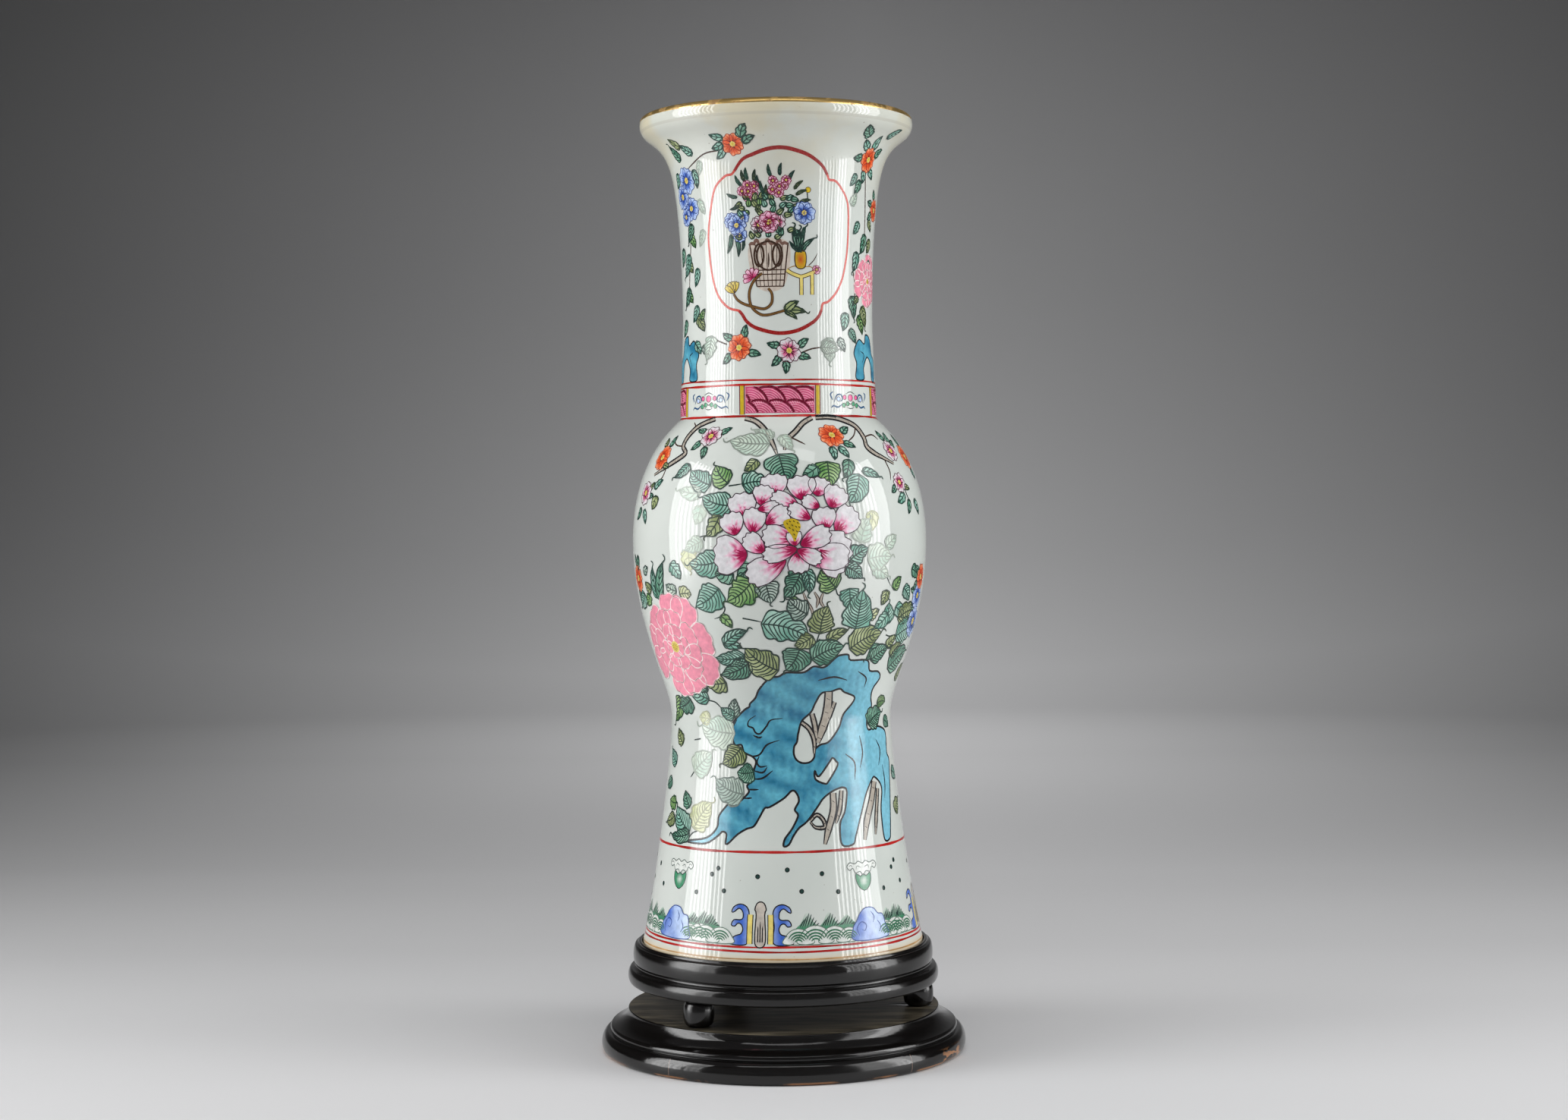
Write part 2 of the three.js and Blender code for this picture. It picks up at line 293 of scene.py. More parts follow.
def add_lights():
    """A tall softbox on each side, each with a row of bright strips in front of it."""
    softbox("softbox_left", -79, 0.72, 0.8)
    softbox("softbox_right", 82, 0.6, 0.8)
    for i in range(9):
        softbox(f"strip_left_{i + 1}", -53 - 4 * i, STRIP_WIDE, 1.2, STRIP_DISTANCE)
        softbox(f"strip_right_{i + 1}", 49 + 4 * i, STRIP_WIDE, 1.2, STRIP_DISTANCE)
    overhead = area_light("overhead", (0, -0.35, 2.0), (0, 0, 0.2), (1.8, 1.4), 13)
    overhead.visible_glossy = False
    area_light("overhead_glint", (0, -0.9, 1.7), (0, 0, 0.1), (1.5, 0.3), 3)
    backdrop = area_light("backdrop_light", (0.05, 1.5, 1.2), (0.05, 2.9, 0.1), (0.9, 0.5), 16)
    backdrop.visible_glossy = False
    backdrop.visible_camera = False
    world = bpy.data.worlds.new("studio")
    bpy.context.scene.world = world
    world.use_nodes = True
    sky = world.node_tree.nodes["Background"]
    sky.inputs["Color"].default_value = ROOM_GREY
    sky.inputs["Strength"].default_value = 0.9


# A painted falloff of light on the backdrop: each step is how far back and up the backdrop it is, and its
# painted grey.
BACKDROP_PAINTED_FALLOFF = (
    (0.15, 0.67), (4.5, 0.17), (0.3, 0.62), (0.65, 0.66), (1.2, 0.56),
    (1.6, 0.49), (2.6, 0.54), (3.1, 0.41), (3.8, 0.28),
)
BACKDROP_REACH = 5
BACKDROP_SIDES = 0.45  # share of light lost for each metre to the side
# Where the painted light on the backdrop is brightest across it, in metres.
BACKDROP_MIDDLE = 0.16
FLOOR_FLAT = 2300  # mm, from the vase's axis to the start of the sweep
FLOOR_SWEEP = 900
WALL_TOP = 3200


def backdrop_painted_falloff():
    """Pale paper with a painted falloff of light: greyer further back, further up and further to the sides.
    """
    paper = Surface("floor_paper_painted_falloff")
    paper.set("Roughness", 0.55)
    way = paper.maths("ADD", paper.y, paper.z)
    ramp = paper.nodes.new("ShaderNodeValToRGB")
    paper.links.new(paper.ranged(way, 0, BACKDROP_REACH), ramp.inputs["Fac"])
    steps = ramp.color_ramp.elements
    for index, (far, grey) in enumerate(BACKDROP_PAINTED_FALLOFF):
        step = steps[index] if index < 2 else steps.new(far / BACKDROP_REACH)
        step.position = far / BACKDROP_REACH
        step.color = (grey, grey, grey * 1.01, 1)
    # Painted light lost towards the sides, more of it further back.
    aside = paper.maths("ABSOLUTE", paper.maths("SUBTRACT", paper.x, BACKDROP_MIDDLE))
    sides = paper.ranged(aside, 0, 2, 0, 2 * BACKDROP_SIDES)
    deep = paper.ranged(way, 0, 0.7)
    keep = paper.ranged(paper.maths("MULTIPLY", sides, deep), 0, 1, 1, 0)
    paper.feed("Base Color", paper.scaled(ramp.outputs["Color"], keep))
    return paper.material


def add_stage():
    """A pale round floor that sweeps up all round into a wall, both painted greyer further away as a
    falloff of light.
    """
    far = FLOOR_FLAT + FLOOR_SWEEP
    profile = [(0, 0), (400, 0), (900, 0), (1500, 0), (FLOOR_FLAT, 0)]
    pulls = (FLOOR_FLAT + FLOOR_SWEEP * 0.6, 0), (far, FLOOR_SWEEP * 0.4)
    profile += bezier((FLOOR_FLAT, 0), *pulls, (far, FLOOR_SWEEP), 16)
    profile += [(far, WALL_TOP * 0.6), (far, WALL_TOP)]
    floor = lathe("floor", profile, -0.2, 96)
    floor.data.flip_normals()
    floor.data.materials.append(backdrop_painted_falloff())


# ---- Materials -----------------------------------------------------------------------------------


class Surface:
    """A material being made: its shader, and the object's own coordinates to vary it by."""

    def __init__(self, name):
        self.material = bpy.data.materials.new(name)
        self.material.use_nodes = True
        self.nodes, self.links = self.material.node_tree.nodes, self.material.node_tree.links
        self.shader = self.nodes["Principled BSDF"]
        self.where = self.nodes.new("ShaderNodeTexCoord").outputs["Object"]
        parts = self.nodes.new("ShaderNodeSeparateXYZ")
        self.links.new(self.where, parts.inputs[0])
        self.x, self.y, self.z = parts.outputs

    def set(self, socket, number):
        self.shader.inputs[socket].default_value = number

    def feed(self, socket, value):
        self.links.new(value, self.shader.inputs[socket])

    def node(self, kind, *values, operation=None):
        """A new node whose first inputs are other nodes' outputs or plain numbers."""
        node = self.nodes.new(kind)
        if operation:
            node.operation = operation
        for socket, value in zip(node.inputs, values):
            if isinstance(value, bpy.types.NodeSocket):
                self.links.new(value, socket)
            else:
                socket.default_value = value
        return node

    def maths(self, operation, *values):
        return self.node("ShaderNodeMath", *values, operation=operation).outputs["Value"]

    def times(self, a, b):
        return self.maths("MULTIPLY", a, b)

    def noise(self, scale, detail=3, stretch=None):
        node = self.nodes.new("ShaderNodeTexNoise")
        node.inputs["Scale"].default_value = scale
        node.inputs["Detail"].default_value = detail
        source = self.where
        if stretch:
            mapping = self.node("ShaderNodeMapping", source)
            mapping.inputs["Scale"].default_value = stretch
            source = mapping.outputs["Vector"]
        self.links.new(source, node.inputs["Vector"])
        return node.outputs["Fac"]

    def ranged(self, value, low, high, to_low=0.0, to_high=1.0):
        return self.node("ShaderNodeMapRange", value, low, high, to_low, to_high).outputs["Result"]

    def patches(self, scale, detail, low, high, to_low=0.0, to_high=1.0, stretch=None):
        """Noise between two of its levels, spread over a range."""
        return self.ranged(self.noise(scale, detail, stretch), low, high, to_low, to_high)

    def blended(self, share, a, b):
        """A colour between a and b, each of which is a colour or another node's output."""
        node = self.nodes.new("ShaderNodeMix")
        node.data_type = "RGBA"
        self.links.new(share, node.inputs["Factor"])
        for index, value in ((6, a), (7, b)):
            if isinstance(value, tuple):
                node.inputs[index].default_value = (*value, 1)
            else:
                self.links.new(value, node.inputs[index])
        return node.outputs[2]

    def scaled(self, colour, share):
        node = self.nodes.new("ShaderNodeVectorMath")
        node.operation = "SCALE"
        self.links.new(colour, node.inputs[0])
        self.links.new(share, node.inputs["Scale"])
        return node.outputs["Vector"]

    def bumped(self, height, strength, distance):
        node = self.nodes.new("ShaderNodeBump")
        node.inputs["Strength"].default_value = strength
        node.inputs["Distance"].default_value = distance
        self.links.new(height, node.inputs["Height"])
        self.feed("Normal", node.outputs["Normal"])


def porcelain():
    """Grey-green white glaze, creamier at the lip and at the bare foot, with a painted shade line in the
    crease under the lip.
    """
    glaze = Surface("porcelain_glaze")
    glaze.set("IOR", 1.55)
    cloud = glaze.patches(14, 2, 0.35, 0.65)
    tint = glaze.blended(cloud, (0.56, 0.6, 0.565), (0.61, 0.64, 0.605))
    lip = glaze.ranged(glaze.z, (vase_high.z - 52) * MM, (vase_high.z - 4) * MM, 0, 0.95)
    stain = glaze.patches(30, 4, 0.42, 0.62, 0.25, 1)
    tint = glaze.blended(glaze.times(lip, stain), tint, (0.6, 0.55, 0.4))
    # A painted shade line in the crease under the lip's roll, 8.2 mm below the rim.
    painted_crease_shade = glaze.maths("COMPARE", glaze.z, (vase_high.z - 8.2) * MM, 0.7 * MM)
    tint = glaze.blended(glaze.ranged(painted_crease_shade, 0, 1, 0, 0.35), tint, (0.42, 0.4, 0.34))
    foot = glaze.ranged(glaze.z, (vase_low.z + 10.5) * MM, (vase_low.z + 6.5) * MM)
    tint = glaze.blended(foot, tint, (0.66, 0.56, 0.4))
    speck = glaze.patches(520, 1, 0.79, 0.83, 0, 0.6)
    glaze.feed("Base Color", glaze.blended(speck, tint, (0.2, 0.16, 0.12)))
    glaze.feed("Roughness", glaze.patches(45, 3, 0.3, 0.8, 0.015, 0.05))
    glaze.bumped(glaze.noise(85), 0.05, 0.0006)
    return glaze.material


def enamel(name, rough):
    """Overglaze enamel, coloured by each point's own tint and a little uneven, as laid by brush."""
    wash = Surface(name)
    wash.set("IOR", 1.5)
    tint = wash.nodes.new("ShaderNodeAttribute")
    tint.attribute_name = "tint"
    pooled = wash.patches(420, 3, 0.3, 0.7, 0.86, 1.12)
    wash.feed("Base Color", wash.scaled(tint.outputs["Color"], pooled))
    brushed = wash.noise(700, 2)
    wash.feed("Roughness", wash.ranged(brushed, 0.3, 0.7, rough * 0.7, rough * 1.4))
    wash.bumped(brushed, 0.12, 0.0003)
    return wash.material


def gilt():
    """Old gold, rubbed thin in places down to a brown ground."""
    gold = Surface("worn_gilt")
    rubbed = gold.patches(160, 4, 0.54, 0.66)
    gold.feed("Base Color", gold.blended(rubbed, (0.74, 0.5, 0.18), (0.3, 0.17, 0.06)))
    gold.feed("Metallic", gold.ranged(rubbed, 0, 1, 0.9, 0.2))
    gold.feed("Roughness", gold.ranged(rubbed, 0, 1, 0.28, 0.5))
    return gold.material


BEAD_TOP = 10  # mm, the top of the plinth's big bead, up to which its cracks run
CRACK_ANGLES = (-37, 42)  # degrees from the front
CRACK_HALF_WIDTH = 0.0026  # radians
CHIP_ANGLE = 64
RAW_WOOD = (0.3, 0.135, 0.055)


def dull_deck(black, tint, rough, height):
    """Dust and grain on the flat top of the plinth; the height is in mm."""
    facing = black.nodes.new("ShaderNodeNewGeometry").outputs["Normal"]
    up = black.node("ShaderNodeSeparateXYZ", facing).outputs["Z"]
    high = black.ranged(black.z, (height - 1.5) * MM, (height - 0.5) * MM)
    deck = black.times(black.ranged(up, 0.9, 0.99), high)
    worn = black.patches(34, 5, 0.42, 0.66, stretch=(1, 5, 1))
    old = black.blended(worn, (0.032, 0.027, 0.018), (0.13, 0.11, 0.075))
    node = black.nodes.new("ShaderNodeMix")
    black.links.new(deck, node.inputs["Factor"])
    black.links.new(rough, node.inputs["A"])
    node.inputs["B"].default_value = 0.42
    return black.blended(deck, tint, old), node.outputs["Result"]


def worn_edge(black, tint, height):
    """Raw wood in patches along the bottom edge, up to a height in mm, one chip, and the cracks."""
    low = black.ranged(black.z, 0.7 * height * MM, 0.4 * height * MM)
    patchy = black.patches(22, 5, 0.48, 0.54)
    tint = black.blended(black.times(low, patchy), tint, RAW_WOOD)
    chip_place = Vector(round_the_vase(CHIP_ANGLE, PLINTH_RADIUS * MM, 0.001))
    knock = black.node("ShaderNodeVectorMath", black.where, chip_place, operation="DISTANCE")
    chipped = black.ranged(knock.outputs["Value"], 0.02, 0.01)
    ragged = black.patches(130, 5, 0.52, 0.55, stretch=(1, 1, 3))
    below = black.ranged(black.z, 0.0085, 0.0045)
    chip = black.times(black.times(chipped, ragged), below)
    tint = black.blended(chip, tint, RAW_WOOD)
    turn = black.maths("ARCTAN2", black.x, black.times(black.y, -1))
    for angle in CRACK_ANGLES:
        near = black.maths("COMPARE", turn, math.radians(angle), CRACK_HALF_WIDTH)
        on_bead = black.ranged(black.z, (BEAD_TOP + 0.2) * MM, (BEAD_TOP - 0.2) * MM)
        tint = black.blended(black.times(near, on_bead), tint, (0.11, 0.075, 0.06))
    return tint


def lacquer(name, wear_height=None, deck_height=None):
    """Gloss black lacquer on turned wood, with a dull deck and a worn edge where heights are given."""
    black = Surface(name)
    black.set("IOR", 1.52)
    grain = black.noise(60, 4, (1, 9, 9))
    tint = black.blended(grain, (0.0025, 0.0022, 0.0022), (0.005, 0.0042, 0.0038))
    rough = black.patches(26, 4, 0.35, 0.7, 0.07, 0.19)
    if deck_height is not None:
        tint, rough = dull_deck(black, tint, rough, deck_height)
    if wear_height is not None:
        tint = worn_edge(black, tint, wear_height)
    dust = black.patches(900, 2, 0.74, 0.8, 0, 0.5)
    black.feed("Base Color", black.blended(dust, tint, (0.09, 0.085, 0.08)))
    black.feed("Roughness", rough)
    black.bumped(grain, 0.1, 0.0004)
    return black.material


def screw_steel():
    steel = Surface("screw_steel")
    steel.set("Metallic", 1)
    tarnish = steel.patches(300, 4, 0.4, 0.65)
    steel.feed("Base Color", steel.blended(tarnish, (0.5, 0.48, 0.45), (0.26, 0.22, 0.18)))
    steel.feed("Roughness", steel.ranged(tarnish, 0, 1, 0.3, 0.55))
    return steel.material


add_camera()
add_lights()
add_stage()
bpy.context.scene.view_settings.view_transform = "Standard"


# ---- Enamel colours ------------------------------------------------------------------------------


def seen(red, green, blue):
    """A colour as it looks on a screen, 0 to 255 each, made into linear light."""
    return np.array([((c / 255 + 0.055) / 1.055) ** 2.4 for c in (red, green, blue)])


INK_GREEN = seen(24, 44, 40)
INK_BLACK = seen(26, 25, 28)
INK_BROWN = seen(62, 40, 30)
RED_LINE = seen(166, 34, 32)
ROSE = seen(208, 92, 140)
ROSE_DEEP = seen(150, 14, 66)
ROSE_PALE = seen(226, 184, 204)
FLAT_PINK = seen(228, 140, 160)
PETAL_WHITE = seen(213, 211, 214)
ORANGE = seen(218, 86, 44)
ORANGE_PALE = seen(238, 172, 128)
YELLOW = seen(196, 168, 40)
YELLOW_PALE = seen(222, 204, 118)
BLUE = seen(62, 100, 190)
BLUE_PALE = seen(176, 196, 230)
TURQUOISE = seen(92, 168, 190)
TURQUOISE_DEEP = seen(30, 104, 138)
TURQUOISE_PALE = seen(142, 198, 216)
CRIMSON = seen(196, 78, 112)
CRIMSON_DEEP = seen(104, 14, 40)
WAVE_GREEN = seen(70, 146, 108)
BARK = seen(170, 162, 150)
GLAZE_WHITE = seen(214, 218, 213)
LEAF_TONES = {
    "teal": (seen(98, 160, 140), seen(174, 208, 194)),
    "green": (seen(88, 144, 72), seen(166, 194, 134)),
    "dark": (seen(72, 130, 106), seen(146, 188, 166)),
    "olive": (seen(124, 138, 84), seen(182, 192, 146)),
    "pale": (seen(170, 196, 180), seen(204, 214, 200)),
    "grey": (seen(140, 164, 152), seen(190, 204, 194)),
    "cream": (seen(188, 196, 142), seen(212, 214, 180)),
}


def heading(turn):
    """Cosine and sine of a turn in degrees."""
    return math.cos(math.radians(turn)), math.sin(math.radians(turn))


def mix(a, b, share):
    share = np.clip(np.asarray(share, float), 0, 1)[..., None]
    return a * (1 - share) + b * share


def mottle(xy, size, seed=0):
    """Smooth blotches, mostly within -1 to 1, about size mm across."""
    draw = random.Random(seed)
    total = np.zeros(len(xy))
    for _ in range(5):
        turn = draw.uniform(0, 2 * math.pi)
        wave = 2 * math.pi / (size * draw.uniform(0.7, 1.8))
        reach = xy[:, 0] * math.cos(turn) + xy[:, 1] * math.sin(turn)
        total += np.sin(wave * reach + draw.uniform(0, 6))
    return total / 3


# ---- Painting tools ------------------------------------------------------------------------------
# Enamel lies on the glaze in thin raised layers. A drawing is made flat, in mm, and is wrapped
# round the vase by a Spot or by UPRIGHT. Lifts are distances off the glaze, in mm.

SKIN = Turned(vase_outside(), vase_low.z)
GROUND = 0.05  # lift of the first coat
STEP = 0.018  # a shape that overlaps another is this much higher
EDGE = 0.04  # how far the rim of a coat dips


class Paint:
    """A coat of enamel: all the shapes laid in it become one piece."""

    def __init__(self, name, turn=0):
        self.name, self.turn = name, math.radians(turn)
        self.verts, self.faces, self.tints, self.count = [], [], [], 0

    def lay(self, spot, xy, lift, faces, tint):
        angle, along = spot.wrap(np.asarray(xy, float))
        self.verts.append(SKIN.place(angle + self.turn, along, np.broadcast_to(lift, angle.shape)))
        self.faces += [tuple(i + self.count for i in face) for face in faces]
        self.tints.append(np.broadcast_to(tint, (len(angle), 3)))
        self.count += len(angle)

    def dry(self, material):
        piece = mesh_object(self.name, np.vstack(self.verts), self.faces)
        tints = np.hstack([np.vstack(self.tints), np.ones((self.count, 1))])
        layer = piece.data.color_attributes.new("tint", "FLOAT_COLOR", "POINT")
        layer.data.foreach_set("color", tints.astype("f4").ravel())
        piece.data.materials.append(material)
        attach(piece, "vase")


class Coats:
    """The fill coat and the ink coat of one stretch of painting, and how high the next shape goes."""

    levels = 7

    def __init__(self, name, turn=0, base=GROUND):
        self.fill = Paint(f"{name}_enamel", turn)
        self.ink = Paint(f"{name}_ink", turn)
        self.base, self.shapes = base, 0

    def next_lift(self):
        self.shapes += 1
        return self.base + STEP * (self.shapes % self.levels)

    def dry(self, material, ink_material):
        self.fill.dry(material)
        self.ink.dry(ink_material)


class Spot:
    """A flat drawing's origin on the vase, and its turn anticlockwise in degrees."""

    def __init__(self, angle, height, turn=0):
        self.angle, self.along = math.radians(angle), SKIN.along_at(height)
        self.turn = math.radians(turn)

    def wrap(self, xy):
        x, y = xy[:, 0], xy[:, 1]
        c, s = math.cos(self.turn), math.sin(self.turn)
        along = self.along + x * s + y * c
        return self.angle + (x * c - y * s) / SKIN.radius(along), along


class Upright:
    """For drawings whose x is mm round the vase from its front line and whose y is the height above
    the foot. A shift in degrees moves the whole drawing round."""

    def __init__(self, shift=0):
        self.shift = math.radians(shift)

    def wrap(self, xy):
        along = np.interp(xy[:, 1], SKIN.points[:, 1], SKIN.along)
        return self.shift + xy[:, 0] / SKIN.radius(along), along


UPRIGHT = Upright()


def degrees(*points):
    """Points given as (degrees from the front, height) in UPRIGHT's own mm."""
    return [(math.radians(a) * SKIN.radius_at(h), h) for a, h in points]


def spline(points, closed=False, step=0.9):
    """A smooth curve through some points, as dots about a step apart."""
    p = np.array(points, float)
    ends = (p[-1], p[:2]) if closed else (2 * p[0] - p[1], 2 * p[-1] - p[-2])
    p = np.vstack([ends[0], p, ends[1]])
    out = []
    for a, b, c, d in zip(p, p[1:], p[2:], p[3:]):
        t = np.linspace(0, 1, max(2, int(np.hypot(*(c - b)) / step) + 1), endpoint=False)[:, None]
        bend = (2 * a - 5 * b + 4 * c - d) * t**2 + (3 * b - a - 3 * c + d) * t**3
        out.append(0.5 * (2 * b + (c - a) * t + bend))
    return np.vstack(out) if closed else np.vstack([*out, p[-2]])


def strip_faces(n, closed):
    """The faces of a line that has n dots on each side and n along its middle."""
    faces = []
    for i in range(n if closed else n - 1):
        j = (i + 1) % n
        faces += [(i + n, j + n, j, i), (i + 2 * n, j + 2 * n, j + n, i + n)]
    return faces


def stroke(paint, spot, points, width, tint, taper=(0.35, 0.35), closed=False, step=0.9, lift=GROUND):
    """A brush line through some points, which thins at its ends to the two taper shares."""
    centre = spline(points, closed, step)
    n = len(centre)
    if closed:
        tangent = np.roll(centre, -1, 0) - np.roll(centre, 1, 0)
        half = np.full(n, width / 2)
    else:
        tangent = np.gradient(centre, axis=0)
        share = np.linspace(0, 1, n)
        grow = np.minimum(share / 0.3, 1) * (1 - taper[0]) + taper[0]
        fade = np.minimum((1 - share) / 0.3, 1) * (1 - taper[1]) + taper[1]
        half = width / 2 * np.minimum(grow, fade)
    tangent = tangent / np.maximum(np.linalg.norm(tangent, axis=1), 1e-9)[:, None]
    side = np.stack([-tangent[:, 1], tangent[:, 0]], 1) * half[:, None]
    xy = np.vstack([centre + side, centre, centre - side])
    lifts = np.repeat([lift + 0.008, lift + 0.03, lift + 0.008], n)
    paint.lay(spot, xy, lifts, strip_faces(n, closed), tint)


def fan(paint, spot, outline, tint_at, centre=None, rings=(0.35, 0.68, 0.9, 1), lift=GROUND):
    """Fills an outline that can be seen whole from its centre. tint_at takes each point's share of
    the way out and its place."""
    outline = np.asarray(outline, float)
    centre = outline.mean(0) if centre is None else np.array(centre, float)
    n = len(outline)
    xy = np.vstack([centre[None]] + [centre + (outline - centre) * ring for ring in rings])
    share = np.concatenate([[0], np.repeat(rings, n)])
    faces = [(0, 1 + i, 1 + (i + 1) % n) for i in range(n)]
    for k in range(len(rings) - 1):
        a, b = 1 + k * n, 1 + (k + 1) * n
        faces += [(a + i, b + i, b + (i + 1) % n, a + (i + 1) % n) for i in range(n)]
    following = np.roll(outline, -1, 0)
    area = np.sum(outline[:, 0] * following[:, 1] - following[:, 0] * outline[:, 1])
    if area < 0:
        faces = [face[::-1] for face in faces]
    paint.lay(spot, xy, np.where(share > 0.99, lift - EDGE, lift), faces, tint_at(share, xy))


def inside(points, loop):
    """Which of the points lie within a closed loop."""
    x, y = points[:, 0][:, None], points[:, 1][:, None]
    a, b = loop, np.roll(loop, -1, 0)
    crosses = (a[:, 1] > y) != (b[:, 1] > y)
    with np.errstate(divide="ignore", invalid="ignore"):
        where = (b[:, 0] - a[:, 0]) * (y - a[:, 1]) / (b[:, 1] - a[:, 1]) + a[:, 0]
    return (crosses & (x < where)).sum(1) % 2 == 1


def patch(paint, spot, outline, holes, tint_at, grid=2.2, lift=GROUND):
    """Fills a closed outline of any shape, round its holes."""
    loops = [np.asarray(loop, float) for loop in (outline, *holes)]
    low, high = loops[0].min(0), loops[0].max(0)
    columns, rows = (np.arange(low[i], high[i], grid) for i in (0, 1))
    across, up = np.meshgrid(columns, rows)
    across[::2] += grid / 2
    dots = np.stack([across.ravel(), up.ravel()], 1)
    rim = np.vstack(loops)
    dots = dots[(((dots[:, None] - rim[None]) ** 2).sum(2).min(1) > (grid * 0.4) ** 2)]
    edges, start = [], 0
    for loop in loops:
        edges += [(start + i, start + (i + 1) % len(loop)) for i in range(len(loop))]
        start += len(loop)

    def kept(points):
        keep = inside(points, loops[0])
        for hole in loops[1:]:
            keep &= ~inside(points, hole)
        return keep

    verts = [Vector(p) for p in np.vstack([rim, dots[kept(dots)]])]
    out = delaunay_2d_cdt(verts, edges, [], 0, 1e-5)
    xy = np.array([tuple(v) for v in out[0]])
    triangles = np.array([tuple(f) for f in out[2]])
    triangles = triangles[kept(xy[triangles].mean(1))]
    at_rim = ((xy[:, None] - rim[None]) ** 2).sum(2).min(1) < 1e-6
    paint.lay(spot, xy, np.where(at_rim, lift - EDGE, lift), triangles.tolist(), tint_at(xy))


def shape(coats, spot, points, tint_at, line=0.6, ink=INK_BLACK, holes=(), lift=GROUND, step=1.2, grid=2.2):
    """A filled shape of any outline with an ink line round it and round its holes."""
    loops = [spline(loop, True, step) for loop in (points, *holes)]
    patch(coats.fill, spot, loops[0], loops[1:], tint_at, grid, lift)
    if line:
        for loop in (points, *holes):
            stroke(coats.ink, spot, loop, line, ink, closed=True, lift=lift)


def flat_tint(tint, vary=0.12, size=6, seed=1):
    return lambda xy: tint * (1 + vary * mottle(xy, size, seed))[:, None]


def outlined(coats, spot, points, width, tint, ink=INK_BROWN, line=0.5, lift=GROUND, taper=(0.5, 0.3)):
    """A band of colour along a line, with ink along both of its sides."""
    stroke(coats.ink, spot, points, width + 2 * line, ink, taper, lift=lift)
    stroke(coats.fill, spot, points, width, tint, taper, lift=lift + 0.03)


def disc(radius, at=(0, 0), points=8):
    turns = np.linspace(0, 2 * math.pi, points, endpoint=False)
    return spline(np.stack([at[0] + radius * np.cos(turns), at[1] + radius * np.sin(turns)], 1), True, 0.7)


def spot_of(coats, spot, at, radius, tint, ink, lift=GROUND):
    """A small round dab with a paler middle and an ink line round it."""
    paler = lambda share, xy: mix(tint * 1.3, tint, share)
    fan(coats.fill, spot, disc(radius, at), paler, rings=(0.6, 1), lift=lift)
    stroke(coats.ink, spot, disc(radius, at)[::2], 0.3, ink, closed=True, lift=lift)


def ring_line(paint, height, width, tint, seed=0, lift=GROUND):
    """A hand-drawn line right round the vase."""
    steps = VASE_SEGMENTS
    draw = random.Random(seed)
    a, b, c = (draw.uniform(0, 6) for _ in range(3))
    turn = np.linspace(0, 2 * math.pi, steps, endpoint=False)
    middle = height + 0.1 * np.sin(turn * 3 + a) + 0.06 * np.sin(turn * 8 + b)
    swell = width / 2 * (1 + 0.12 * np.sin(turn * 11 + b) + 0.1 * np.sin(turn * 23 + c))
    radius = SKIN.radius_at(height)
    xy = np.vstack([np.stack([turn * radius, middle + swell * k], 1) for k in (1, 0, -1)])
    shade = np.tile(1 + 0.2 * np.sin(turn * 5 + c) + 0.12 * np.sin(turn * 37), 3)
    xy[:, 0] = xy[:, 0] / radius * SKIN.radius(np.interp(xy[:, 1], SKIN.points[:, 1], SKIN.along))
    lifts = np.repeat([lift - 0.03, lift + 0.02, lift - 0.03], steps)
    paint.lay(UPRIGHT, xy, lifts, strip_faces(steps, True), tint * shade[:, None])


# ---- Motifs --------------------------------------------------------------------------------------


